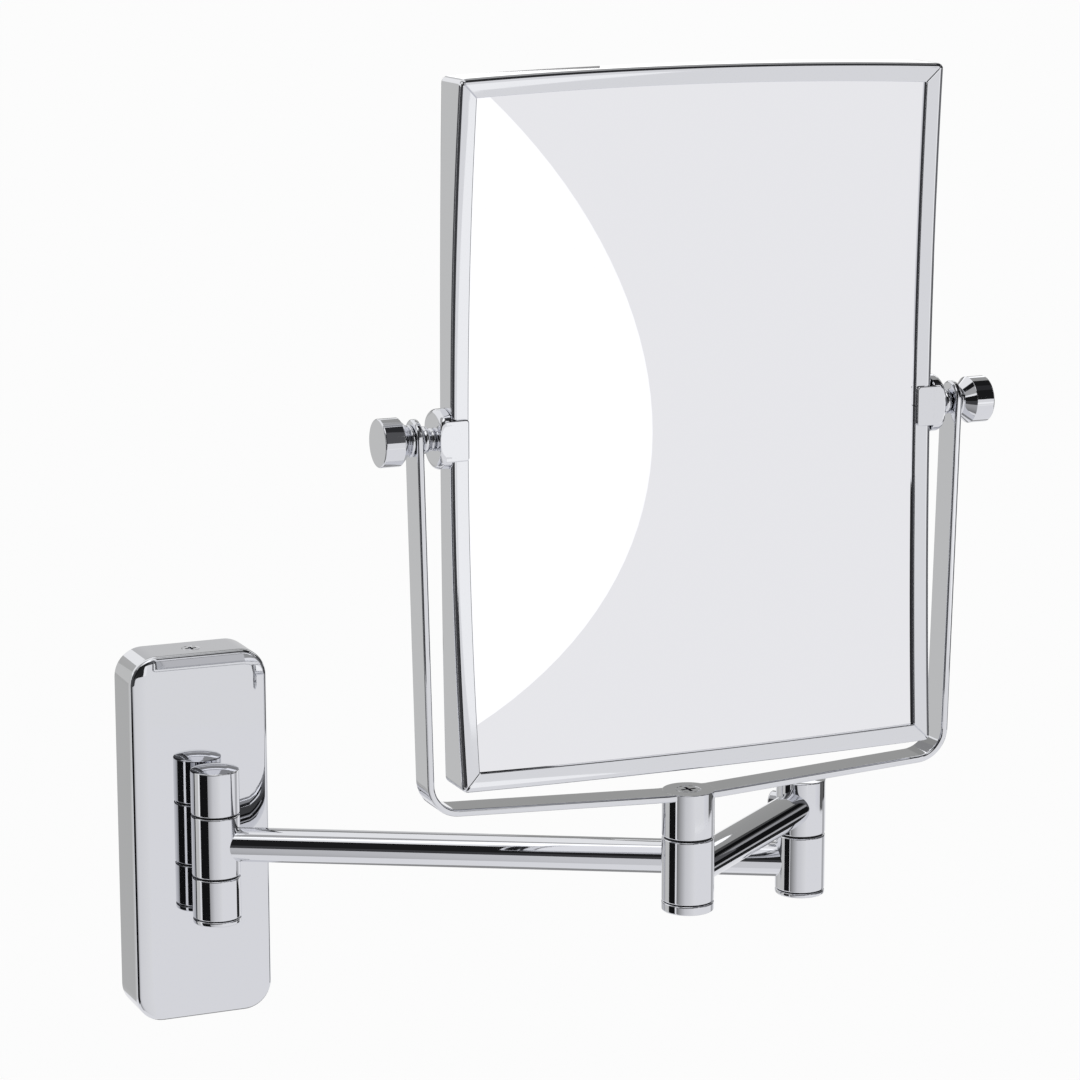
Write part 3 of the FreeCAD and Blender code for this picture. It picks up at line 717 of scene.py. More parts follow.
@dataclass(frozen=True)
class CrossScrew:
    """A countersunk screw with a cross recess."""

    node: str
    shank: float
    cross: float
    slot_width: float = 1.1
    slot_depth: float = 1.1
    seat_gap: float = 0.12
    seat_over: float = 1.0
    edge: float = 0.12

    def build(self, lathe: Lathe) -> None:
        """Builds and dresses the screw.

        Args:
            lathe: The lathe.
        """
        half = node_half(self.node)
        radius, length = half.x, 2 * half.z
        shank = self.shank / 2
        corners = [(0, 0, 0), (radius, 0, self.edge), (shank, shank - radius, 0), (shank, -length, 0),
                   (0, -length, 0)]
        slot = Vector((self.cross, self.slot_width, self.slot_depth))
        finish_piece(lathe.cut_screw(rounded(corners), 2, slot, self.face()), self.node)

    def face(self) -> Vector:
        """The middle of the screw's face."""
        low, high = node_span(self.node)
        return Vector(((low.x + high.x) / 2, (low.y + high.y) / 2, high.z))

    def seat(self) -> list[Point2]:
        """Draws the countersunk seat, from its mouth down.

        Returns:
            Points (radius, height above the screw's face): two above the face, the mouth, the neck and two below.
        """
        half = node_half(self.node)
        radius = half.x + self.seat_gap
        shank = self.shank / 2 + self.seat_gap
        over = self.seat_over
        depth = 2 * half.z + over
        return [(0, over), (radius, over), (radius, 0), (shank, shank - radius), (shank, -depth), (0, -depth)]


# Wall plate, its knuckles and the hinge cap

@dataclass
class WallMount:
    """The hollow cover on the wall, with the two fixed knuckles of the wall hinge."""

    lathe: Lathe
    corner: float = 10.0
    least_corner: float = 0.05
    edge: float = 2.0
    roll_width: float = 6.0
    roll_slope: float = 11.0
    wall: float = 1.6
    corner_steps: int = 16
    edge_steps: int = 12
    roll_steps: int = 12
    boss_radius: float = 4.5
    screw: CrossScrew = CrossScrew("cover_screw", shank=3.4, cross=4.0)

    def build(self) -> None:
        """Builds and dresses the plate, the knuckles, the screw and the cap."""
        hinge = joint_point("wall_hinge")
        seat = self.lathe.turn(self.screw.seat(), self.screw.face())
        finish_piece(carve(self.plate(), seat), "cover_plate")
        self.screw.build(self.lathe)
        for node, form in (("upper_knuckle", CROWNED), ("lower_knuckle", PIN_BORE)):
            barrel = self.lathe.barrel(node, hinge, form)
            finish_piece(join_meshes(barrel, self.boss(node, hinge, form.crown)), node)
        finish_piece(self.lathe.barrel("wall_hinge_cap", hinge, CAP), "wall_hinge_cap")

    def boss(self, node: str, hinge: Vector, crown: float) -> bpy.types.Mesh:
        """Draws the boss that holds a knuckle to the plate.

        Args:
            node: The knuckle.
            hinge: A point on the hinge axis.
            crown: The height of the knuckle's dome.

        Returns:
            The boss's mesh.
        """
        low, high = node_span(node)
        start = Vector((hinge.x, hinge.y, (low.z + high.z - crown) / 2))
        end = Vector((hinge.x, high.y, start.z))
        return self.lathe.draw_tube(start, end, (self.boss_radius, 0), ((high.x - low.x) / 2, 0))

    def ring(self, inset: float, depth: float) -> list[Vector]:
        """Draws the plate's outline.

        Args:
            inset: How far the outline is moved in.
            depth: Its distance from the wall.

        Returns:
            The outline's points.
        """
        high = node_span("cover_plate")[1]
        radius = max(self.corner - inset, self.least_corner)
        loop = []
        for quarter, (side_x, side_z) in enumerate(((1, 1), (-1, 1), (-1, -1), (1, -1))):
            middle = Vector((side_x * (high.x - inset - radius), -depth, side_z * (high.z - inset - radius)))
            for step in range(self.corner_steps + 1):
                angle = (quarter + step / self.corner_steps) * math.pi / 2
                loop.append(middle + Vector((math.cos(angle), 0, math.sin(angle))) * radius)
        return loop

    def plate(self) -> bpy.types.Mesh:
        """Builds the cover: the hollow behind, its side, rounded edge, and a face that rolls off towards its edge.

        Returns:
            The cover's mesh.
        """
        depth = -node_span("cover_plate")[0].y
        slope = math.tan(math.radians(self.roll_slope))
        last = math.radians(90 - self.roll_slope)
        edge_depth = depth - slope * self.roll_width / 2
        side_depth = edge_depth - self.edge * math.sin(last)
        rows = [self.ring(self.wall, depth - self.wall), self.ring(self.wall, 0), self.ring(0, 0)]
        for step in range(self.edge_steps + 1):
            angle = last * step / self.edge_steps
            rows.append(self.ring(self.edge * (1 - math.cos(angle)), side_depth + self.edge * math.sin(angle)))
        edge_inset = self.edge * (1 - math.cos(last))
        for step in range(1, self.roll_steps + 1):
            reach = self.roll_width * step / self.roll_steps
            drop = slope * (reach - reach ** 2 / (2 * self.roll_width))
            rows.append(self.ring(edge_inset + reach, edge_depth + drop))
        sketch = Sketch()
        sketch.solid(rows)
        return sketch.mesh()


# Arms

@dataclass
class Arm:
    """A round tube with a hinge barrel at each end."""

    lathe: Lathe
    tube_radius: float = 6.0
    tube_bore: float = 4.5

    def add_tube(self, node: str, start: Vector, end: Vector) -> None:
        """Draws and dresses the arm's tube.

        Args:
            node: The tube's node, which gives its height.
            start: A point on the first hinge axis.
            end: A point on the second hinge axis.
        """
        level = node_middle(node).z
        ends = [Vector((point.x, point.y, level)) for point in (start, end)]
        barrel = node_half("inner_wall_barrel").x
        finish_piece(self.lathe.draw_tube(*ends, (self.tube_radius, self.tube_bore), (barrel, barrel)), node)


@dataclass
class InnerArm(Arm):
    """The long arm: a tube between the wall hinge and the elbow."""

    def build(self) -> None:
        """Builds and dresses the two barrels and the tube."""
        hinge = joint_point("wall_hinge")
        elbow = joint_point("elbow_hinge")
        for node, point in (("inner_wall_barrel", hinge), ("inner_elbow_barrel", elbow)):
            finish_piece(self.lathe.barrel(node, point, BUSH_BORE), node)
        self.add_tube("inner_arm_tube", hinge, elbow)


@dataclass
class OuterArm(Arm):
    """The short arm: a tube between the elbow and the swivel post, with the elbow's friction screw."""

    screw_head: float = 7.0
    screw_shank: float = 4.0
    screw_edge: float = 0.7
    screw_stand: float = 2.6
    screw_inner_end: float = 4.05
    slot_width: float = 1.1
    slot_depth: float = 1.1

    def build(self) -> None:
        """Builds and dresses the barrels, the tube, the cap and the screw."""
        elbow = joint_point("elbow_hinge")
        post = joint_point("yoke_swivel")
        pieces = (("outer_elbow_barrel", elbow, CROWNED), ("outer_post_barrel", post, BUSH_BORE),
                  ("elbow_cap", elbow, CAP))
        for node, point, form in pieces:
            finish_piece(self.lathe.barrel(node, point, form), node)
        self.add_tube("outer_arm_tube", elbow, post)
        self.friction_screw(elbow, post)

    def friction_screw(self, elbow: Vector, post: Vector) -> None:
        """Builds and dresses the slotted screw that stands out of the elbow, square to the arm.

        Args:
            elbow: A point on the elbow's axis.
            post: A point on the post's axis.
        """
        along = (post - elbow) * Vector((1, 1, 0))
        axis = Vector((along.y, -along.x, 0)).normalized()
        barrel = node_half("outer_elbow_barrel").x
        reach = barrel + self.screw_stand
        face = Vector((elbow.x, elbow.y, node_middle("elbow_screw").z)) + axis * reach
        head = self.screw_head / 2
        shank = self.screw_shank / 2
        under = math.sqrt(barrel ** 2 - head ** 2) - reach
        tip = self.screw_inner_end - reach
        corners = [(0, 0, 0), (head, 0, self.screw_edge), (head, under, 0), (shank, under, 0), (shank, tip, 0),
                   (0, tip, 0)]
        slot = Vector((2 * self.screw_head, self.slot_width, self.slot_depth))
        finish_piece(self.lathe.cut_screw(rounded(corners), 1, slot, face, axis), "elbow_screw")


# Yoke

@dataclass
class Yoke:
    """The bent strip that carries the mirror, on its swivel post."""

    lathe: Lathe
    depth: float = 11.0
    thickness: float = 2.3
    edge: float = 0.8
    end_rise: float = 6.6
    splay: float = 3.0
    bar_rise: float = 4.3
    corner: float = 11.0
    eye_edge: float = 0.25
    inside_eye: float = 5.0
    under_eye: float = 0.02
    bar_shares: tuple[float, float, float] = (0.02, 0.35, 0.7)
    corner_steps: int = 24
    arm_steps: int = 6
    end_steps: int = 14
    across_steps: int = 4
    screw: CrossScrew = CrossScrew("yoke_screw", shank=4.6, cross=5.0)

    def build(self) -> None:
        """Builds and dresses the post, the cap, the strip and the screw."""
        post = joint_point("yoke_swivel")
        for node, form in (("swivel_post", POST), ("post_cap", CAP)):
            finish_piece(self.lathe.barrel(node, post, form), node)
        self.screw.build(self.lathe)
        finish_piece(join_meshes(self.eye(), self.strip(-1), self.strip(1)), "yoke")

    def eye(self) -> bpy.types.Mesh:
        """Turns the round eye over the post, with the screw's seat in it.

        Returns:
            The eye's mesh.
        """
        radius = node_half("swivel_post").x
        mouth, neck = self.screw.seat()[2:4]
        corners = [(neck[0], -self.thickness, 0), (radius, -self.thickness, 0), (radius, 0, self.eye_edge),
                   (mouth[0], 0, 0), (neck[0], neck[1], 0), (neck[0], -self.thickness, 0)]
        return self.lathe.turn(rounded(corners), self.screw.face())

    def path(self) -> list[tuple[Vector, Vector]]:
        """Draws the outer line of the strip's right half about the pivot, from the eye to the arm's end.

        Returns:
            Points (x, z), each with the inward normal there.
        """
        pivot = joint_point("mirror_tilt")
        low, high = node_span("yoke")
        drop = pivot.z - low.z
        lean = self.splay / drop
        arm = Vector((lean, 1)).normalized()
        arm_end = Vector((high.x - pivot.x, self.end_rise))
        flat_end = node_half("swivel_post").x
        rise = self.bar_rise / (arm_end.x - lean * self.end_rise - flat_end)
        bar = Vector((1, rise)).normalized()
        bar_start = Vector((flat_end, -drop - self.under_eye))
        gap = arm_end - bar_start
        along = (gap.x * arm.y - gap.y * arm.x) / (bar.x * arm.y - bar.y * arm.x)
        meet = bar_start + bar * along
        turn = bar.angle(arm)
        setback = self.corner * math.tan(turn / 2)
        start = meet - bar * setback
        upward = Vector((0, 1))
        bar_normal = Vector((-bar.y, bar.x))
        arm_normal = Vector((-arm.y, arm.x))
        centre = start + bar_normal * self.corner
        flat_start = Vector((self.inside_eye, bar_start.y))
        line = [(flat_start, upward), (bar_start, (bar_normal + upward).normalized())]
        line += [(bar_start.lerp(start, share), bar_normal) for share in self.bar_shares]
        for step in range(self.corner_steps + 1):
            angle = turn * step / self.corner_steps
            normal = bar_normal * math.cos(angle) + bar * -math.sin(angle)
            line.append((centre - normal * self.corner, normal))
        arm_start = line[-1][0]
        round_start = arm_end - arm * (self.depth / 2)
        shares = [step / self.arm_steps for step in range(1, self.arm_steps + 1)]
        return line + [(arm_start.lerp(round_start, share), arm_normal) for share in shares]

    def strip(self, side: int) -> bpy.types.Mesh:
        """Sweeps one half of the strip, with rounded edges and a fully rounded end.

        Args:
            side: 1 for the right half, -1 for the left half.

        Returns:
            The half's mesh.
        """
        pivot = joint_point("mirror_tilt")
        line = self.path()
        section = quarter_round(self.edge)
        section += [(inset, self.thickness - rise) for inset, rise in reversed(section)]
        last, normal = line[-1]
        onward = Vector((normal.y, -normal.x))

        def place(point: Vector, inward: Vector, rise: float, across: float) -> Vector:
            """A point of the strip in the part's frame."""
            spot = point + inward * rise
            return pivot + Vector((side * spot.x, across, spot.y))

        stations = [(point, inward, 0.0) for point, inward in line]
        stations += [(last, normal, math.pi / 2 * step / self.end_steps) for step in range(1, self.end_steps + 1)]
        shares = [2 * step / self.across_steps - 1 for step in range(1, self.across_steps)]
        rows = []
        for point, inward, angle in stations:
            front = []
            for inset, rise in section:
                reach = self.depth / 2 - inset
                moved = point + onward * (reach * math.sin(angle))
                front.append((moved, rise, reach * math.cos(angle)))
            row = [place(spot, inward, rise, -across) for spot, rise, across in front]
            top_spot, top_rise, top_across = front[-1]
            low_spot, low_rise, low_across = front[0]
            row += [place(top_spot, inward, top_rise, share * top_across) for share in shares]
            row += [place(spot, inward, rise, across) for spot, rise, across in reversed(front)]
            row += [place(low_spot, inward, low_rise, -share * low_across) for share in shares]
            rows.append(row)
        sketch = Sketch()
        sketch.sheet(rows, closed=True)
        sketch.fill(rows[0])
        return sketch.mesh()


# Mirror head

@dataclass
class MirrorHead:
    """The mitred frame in two halves, its concave and plain glasses, and the pivot lugs with their collars."""

    lathe: Lathe
    side_bow: float = 1.1
    end_bow: float = 1.7
    corner: float = 1.9
    least_corner: float = 0.02
    edge: float = 1.75
    wall: float = 1.2
    bezel: float = 5.8
    lip_edge: float = 0.35
    front_lip: float = 1.5
    rear_lip: float = 1.0
    seam: float = 0.2
    groove_depth: float = 0.3
    groove_half: float = 0.4
    mitre_places: tuple[float, ...] = (0.5, 0.9, 1.4, 2.2, 4.0)
    sphere: float = 1000.0
    glass: float = 1.8
    glass_gap: float = 0.1
    glass_inset: float = 1.6
    glass_cells: tuple[int, int] = (48, 64)
    side_steps: int = 18
    lug_edge: float = 1.8
    lug_chamfer: float = 0.3
    lug_softness: int = 30
    lug_steps: int = 96
    tab_corner: float = 1.0
    tab_edge: float = 0.45
    tab_under: float = 0.01
    tab_short: float = 0.5
    front_lean: float = 0.065
    ring: float = 3.6
    ring_length: float = 1.6
    ring_edge: float = 0.74
    ball_edge: float = 1.38
    collar_neck: float = 2.9
    collar_groove: float = 0.15
    collar_steps: int = 8
    stud: float = 2.55

    def __post_init__(self) -> None:
        """Reads the head's place and main sizes from the frame."""
        self.pivot = joint_point("mirror_tilt")
        low, high = node_span("frame_upper_half")
        side_reach = (high.x - low.x) / 2
        self.half_width = side_reach - self.side_bow
        self.half_height = high.z - self.pivot.z - self.end_bow
        self.rear = high.y - self.pivot.y
        self.rim_vertex = self.sphere - math.sqrt(self.sphere ** 2 - side_reach ** 2) - self.rear

    def build(self) -> None:
        """Builds and dresses the head's pieces."""
        for node, upward in (("frame_upper_half", 1), ("frame_lower_half", -1)):
            finish_piece(self.frame_half(upward), node)
        finish_piece(self.concave_glass(), "magnifying_glass", SILVERED)
        finish_piece(self.plain_glass(), "plain_glass", SILVERED)
        for name, side in (("left", -1), ("right", 1)):
            finish_piece(self.lug(name + "_lug", side), name + "_lug")
            finish_piece(self.collar(name + "_collar", side), name + "_collar")

    def hollow(self, x: float, z: float, depth: float) -> float:
        """How far behind the pivot axis the hollow front lies at (x, z), at a depth behind its surface."""
        return self.rim_vertex - self.sphere + math.sqrt((self.sphere + depth) ** 2 - x ** 2 - z ** 2)

    def section(self) -> list[tuple[float, float, bool]]:
        """Draws the frame's closed section, from the front lip outwards and round the back.

        Returns:
            Points (inset from the outline, depth, True where the depth is behind the front, else before the rear).
        """
        front = [(self.bezel, self.front_lip)]
        front += [(self.bezel - inset, depth) for depth, inset in quarter_round(self.lip_edge)]
        front += [((self.bezel - self.lip_edge + self.edge) / 2, 0)]
        edge = quarter_round(self.edge)
        rear = edge[::-1] + [(inset, min(depth, self.rear_lip)) for inset, depth in reversed(front)]
        line = [(*point, True) for point in front + edge] + [(*point, False) for point in rear]
        return line + [(self.wall, self.rear_lip, False), (self.wall, self.front_lip, True)]

    def outline(self, halves: tuple[float, float, float], inset: float, along: float) -> Point2:
        """Finds a point of a side's outline, measured along it from the mitre.

        Args:
            halves: Half the side's length, its ends' distance from the middle, and its bow.
            inset: How far the outline is moved in.
            along: Distance from the mitre.

        Returns:
            The point's place along the side and its distance out from the middle.
        """
        radius = max(self.corner - inset, self.least_corner)
        arc = radius * math.pi / 4
        end = halves[0] - inset - radius
        out = halves[1] - inset - radius
        angle = math.pi / 4 + min(along, arc) / radius
        place = end + radius * math.cos(angle) - max(along - arc, 0)
        mitre = end + radius * math.cos(math.pi / 4)
        return place, out + radius * math.sin(angle) + halves[2] * (1 - (place / mitre) ** 2)

    def half_side(self, side: Side, towards: int, stop: float) -> list[list[Vector]]:
        """Sweeps the section along half of a side, from the mitre to its middle.

        Args:
            side: The side.
            towards: The end that it starts from, 1 or -1 along X or Z.
            stop: Where it stops, measured from the side's middle.

        Returns:
            Rows of points, one for each place along the side.
        """
        facing = side.value
        upright = facing[0] != 0
        halves = (self.half_width, self.half_height, self.end_bow)
        if upright:
            halves = (self.half_height, self.half_width, self.side_bow)
        near = [0, self.groove_half, *self.mitre_places]
        rows = []
        for column in range(len(near) + self.side_steps):
            row = []
            for inset, depth, from_front in self.section():
                radius = max(self.corner - inset, self.least_corner)
                whole = halves[0] - inset - radius + radius * math.pi / 4 - stop
                share = (column - len(near) + 1) / self.side_steps
                along = near[column] if column < len(near) else near[-1] + share * (whole - near[-1])
                place, out = self.outline(halves, inset, along)
                groove = self.groove_depth if column == 0 and depth < self.edge / 2 else 0
                x, z = (facing[0] * out, towards * place) if upright else (towards * place, facing[1] * out)
                y = self.hollow(x, z, depth + groove) if from_front else self.rear - depth - groove
                row.append(self.pivot + Vector((x, y, z)))
            rows.append(row)
        return rows

    def frame_half(self, upward: int) -> bpy.types.Mesh:
        """Builds the frame's half above or below the pivot axis.

        Args:
            upward: 1 for the upper half, -1 for the lower half.

        Returns:
            The half's mesh.
        """
        sketch = Sketch()
        level = Side.TOP if upward > 0 else Side.BOTTOM
        for towards in (-1, 1):
            sketch.sheet(self.half_side(level, towards, 0), closed=True)
        for side in (Side.LEFT, Side.RIGHT):
            rows = self.half_side(side, upward, self.seam / 2)
            sketch.sheet(rows, closed=True)
            sketch.fill(rows[-1])
        return sketch.mesh()

    def glass_point(self, u: float, v: float) -> Point2:
        """The place (x, z) in the bowed outline of a glass, with u and v from -1 to 1."""
        return (u * (self.half_width - self.glass_inset + self.side_bow * (1 - v ** 2)),
                v * (self.half_height - self.glass_inset + self.end_bow * (1 - u ** 2)))

    def slab(self, *surfaces: Callable[[float, float], float]) -> bpy.types.Mesh:
        """Builds a closed sheet of glass.

        Args:
            *surfaces: How far its front face, and then its back face, lies behind the pivot at (x, z).

        Returns:
            The sheet's mesh.
        """
        columns, rows = self.glass_cells
        sketch = Sketch()
        edges = []
        for surface in surfaces:
            grid = []
            for row in range(rows + 1):
                points = [self.glass_point(2 * column / columns - 1, 2 * row / rows - 1)
                          for column in range(columns + 1)]
                grid.append([self.pivot + Vector((x, surface(x, z), z)) for x, z in points])
            sketch.sheet(grid)
            right_edge = [line[-1] for line in grid]
            left_edge = [line[0] for line in grid]
            edges.append(grid[0] + right_edge[1:] + grid[-1][-2::-1] + left_edge[-2:0:-1])
        sketch.sheet(edges, closed=True)
        return sketch.mesh()

    def concave_glass(self) -> bpy.types.Mesh:
        """Builds the magnifying glass behind the front bezel."""
        face = self.front_lip + self.glass_gap
        return self.slab(lambda x, z: self.hollow(x, z, face), lambda x, z: self.hollow(x, z, face + self.glass))

    def plain_glass(self) -> bpy.types.Mesh:
        """Builds the flat glass behind the rear bezel."""
        face = self.rear - self.rear_lip - self.glass_gap
        return self.slab(lambda x, z: face - self.glass, lambda x, z: face)

    def lug(self, node: str, side: int) -> bpy.types.Mesh:
        """Builds a lug: a disc with a flat in front and behind, and a tab over each bezel.

        Args:
            node: The lug's node.
            side: 1 for the right lug, -1 for the left.

        Returns:
            The lug's mesh.
        """
        near, outer = tilt_span(node)
        inner = self.half_width + self.side_bow + self.glass_gap
        half = node_half(node)
        flat, radius = half.y, half.z

        def place(reach: float, across: float, height: float) -> Vector:
            """A point of the lug in the part's frame."""
            return self.pivot + Vector((side * reach, across, height))

        def ring(reach: float, ring_radius: float) -> list[Vector]:
            """Draws the disc's outline with its flats, of which the front one leans with the hollow bezel.

            Args:
                reach: Distance from the mirror's middle.
                ring_radius: The outline's radius.

            Returns:
                The outline's points.
            """
            loop = []
            for step in range(self.lug_steps):
                angle = math.tau * step / self.lug_steps
                across = math.cos(angle)
                limit = flat if across > 0 else flat - self.front_lean * (outer - reach)
                soft = (1 / ring_radius) ** self.lug_softness + (abs(across) / limit) ** self.lug_softness
                spread = soft ** (-1 / self.lug_softness)
                loop.append(place(reach, spread * across, spread * math.sin(angle)))
            return loop

        sketch = Sketch()
        sketch.solid([ring(inner, radius - self.lug_chamfer), ring(inner + self.lug_chamfer, radius),
                      *(ring(outer - back, radius - inset) for back, inset in quarter_round(self.lug_edge))])
        spans = (near + self.tab_short, (inner + outer) / 2, outer, math.sqrt(radius ** 2 - flat ** 2))
        for facing in (-1, 1):
            sketch.solid(self.tab(spans, (self.rear + self.glass_gap, flat - self.tab_under), facing, place))
        return sketch.mesh()

    def tab(self, spans: tuple[float, float, float, float], depths: Point2, facing: int,
            place: Callable[[float, float, float], Vector]) -> list[list[Vector]]:
        """Draws one tab of a lug with rounded corners and a rounded front edge.

        Args:
            spans: Where the tab ends, where it starts, where the lug ends, and half the tab's height.
            depths: Its back and its face, measured from the pivot.
            facing: -1 for the front tab, 1 for the rear tab.
            place: Puts a point of the lug in the part's frame.

        Returns:
            Rings of points from the back to the face.
        """
        end, start, outer, half = spans
        back, face = depths
        lean = self.front_lean if facing < 0 else 0
        levels = [(0.0, back, start)]
        levels += [(inset, face - under, outer) for under, inset in quarter_round(self.tab_edge)]
        middle_x, middle_z = end + self.tab_corner, half - self.tab_corner
        rings = []
        for inset, level, root in levels:
            soft = self.tab_corner - inset
            loop = [(start, inset - half), (start, half - inset)]
            loop += [(middle_x - soft * math.sin(turn), middle_z + soft * math.cos(turn)) for turn in QUARTER]
            loop += [(middle_x - soft * math.cos(turn), -middle_z - soft * math.sin(turn)) for turn in QUARTER]
            rings.append([place(reach, facing * (level - lean * (root - reach)), height) for reach, height in loop])
        return rings

    def collar(self, node: str, side: int) -> bpy.types.Mesh:
        """Turns a collar: a thin ring beside the lug, then a ball-shaped bead.

        Args:
            node: The collar's node.
            side: 1 for the right collar, -1 for the left.

        Returns:
            The collar's mesh.
        """
        near, far = tilt_span(node)
        ball = node_half(node).z
        ring_end = near + self.ring_length - self.collar_groove / 2
        ball_start = ring_end + self.collar_groove
        corners = [(self.stud, near, 0), (self.ring, near, self.ring_edge), (self.ring, ring_end, self.ring_edge),
                   (self.collar_neck, ring_end, 0), (self.collar_neck, ball_start, 0),
                   (ball, ball_start, self.ball_edge), (ball, far, self.ball_edge), (self.stud, far, 0),
                   (self.stud, near, 0)]
        return self.lathe.turn(rounded(corners, self.collar_steps), self.pivot, X_AXIS * side)


@dataclass
class PivotKnob:
    """A knob that clamps the tilt: a flat-faced drum with a cone towards the yoke, and its washer."""

    lathe: Lathe
    name: str
    side: int
    cone: float = 3.2
    face_edge: float = 0.5
    cone_edge: float = 0.3
    stud: float = 2.52
    stud_depth: float = 6.0
    washer_edge: float = 0.3

    def build(self) -> None:
        """Builds and dresses the knob and the washer."""
        pivot = joint_point("mirror_tilt")
        for node, draw in ((self.name + "_knob", self.drum), (self.name + "_knob_washer", self.washer)):
            corners = draw(*tilt_span(node), node_half(node).z)
            finish_piece(self.lathe.turn(rounded(corners), pivot, X_AXIS * self.side), node)

    def drum(self, inner: float, face: float, radius: float) -> list[Corner]:
        """Draws the knob's half section.

        Args:
            inner: Where the knob starts along the tilt axis.
            face: Where it ends.
            radius: Its outer radius.

        Returns:
            The section's corners.
        """
        bore_end = inner + self.stud_depth
        return [(0, bore_end, 0), (self.stud, bore_end, 0), (self.stud, inner, 0),
                (radius - self.cone, inner, self.cone_edge), (radius, inner + self.cone, self.cone_edge),
                (radius, face, self.face_edge), (0, face, 0)]

    def washer(self, near: float, far: float, radius: float) -> list[Corner]:
        """Draws the half section of the washer, which has an outer radius and two ends along the tilt axis."""
        return [(self.stud, near, 0), (radius, near, self.washer_edge), (radius, far, self.washer_edge),
                (self.stud, far, 0), (self.stud, near, 0)]


def dress_fixed_nodes() -> None:
    """Dresses the solids that stay as they are: pins, bushes, washers, studs, the pad and the bracket."""
    slot_of = {part["node"]: Slot(part["material_slot"]) for part in frame["record"]["subparts"]}
    for node, solid in frame["nodes"].items():
        finish = FINISH_OF_SLOT[slot_of[node]]
        solid.data.materials.clear()
        solid.data.materials.append(finish.material())


# Studio

class CardForm(Enum):
    """The outline of a studio card."""

    BAND = "band"
    ROUND = "round"


@dataclass(frozen=True)
class Card:
    """A curved studio card, white, grey or black, seen only in reflections.

    Azimuths run from the room's middle towards the right, and elevations upwards, seen from the object, in degrees.
    The distance is in metres. A card with a last colour fades to it along its azimuths.
    """

    name: str
    azimuths: Point2
    elevations: Point2
    colour: str
    distance: float = 3.0
    last: str = ""
    strength: float = 1.0
    form: CardForm = CardForm.BAND
    lean: float = 0.0
    steps: tuple[int, int] = (12, 36)

    def direction(self, row: float, column: float) -> Vector:
        """Finds the way from the object to a point of the card.

        Args:
            row: Share of the way up a band, or out from the middle of a round card.
            column: Share of the way along a band, or round a round card.

        Returns:
            The unit vector.
        """
        low, high = (Vector(corner) for corner in zip(self.azimuths, self.elevations))
        size = high - low
        if self.form is CardForm.ROUND:
            angle = math.tau * column
            spot = Vector((math.cos(angle) * size.x, math.sin(angle) * size.y)) * row / 2
            spot.rotate(Matrix.Rotation(math.radians(self.lean), 2))
            spot += (low + high) / 2
        else:
            spot = low + Vector((size.x * column, size.y * row))
        azimuth, elevation = math.radians(spot.x), math.radians(spot.y)
        level = math.cos(elevation)
        return Vector((math.sin(azimuth) * level, -math.cos(azimuth) * level, math.sin(elevation)))

    def paint(self) -> bpy.types.Material:
        """Makes the card's glowing paint, a flat colour or one that fades to another.

        Returns:
            The material.
        """
        made = bpy.data.materials.new(self.name)
        made.use_nodes = True
        tree = made.node_tree
        tree.nodes.clear()
        colour = linear(self.colour)
        if self.last:
            share = add_node(tree, "ShaderNodeAttribute", attribute_name="share").outputs["Fac"]
            mixed = add_node(tree, "ShaderNodeMix", {
                "Factor": share, MIX_FIRST: colour, MIX_LAST: linear(self.last)}, data_type="RGBA")
            colour = mixed.outputs[MIX_COLOUR]
        glow = add_node(tree, "ShaderNodeEmission", {"Color": colour, "Strength": self.strength})
        add_node(tree, "ShaderNodeOutputMaterial", {"Surface": glow})
        return made

    def build(self, middle: Vector) -> None:
        """Hangs the card.

        Args:
            middle: The point that all cards face, in metres.
        """
        rows, columns = self.steps
        sketch = Sketch()
        sketch.sheet([[(middle + self.direction(row / rows, column / columns) * self.distance) / MM
                       for column in range(columns + 1)] for row in range(rows + 1)])
        mesh = sketch.mesh(merged=False)
        share = mesh.attributes.new("share", "FLOAT", "POINT")
        for index, point in enumerate(share.data):
            point.value = index % (columns + 1) / columns
        mesh.materials.append(self.paint())
        card = put_in_scene(self.name, mesh)
        card.visible_camera = False
        card.visible_diffuse = False
        card.visible_shadow = False
        card.visible_transmission = False


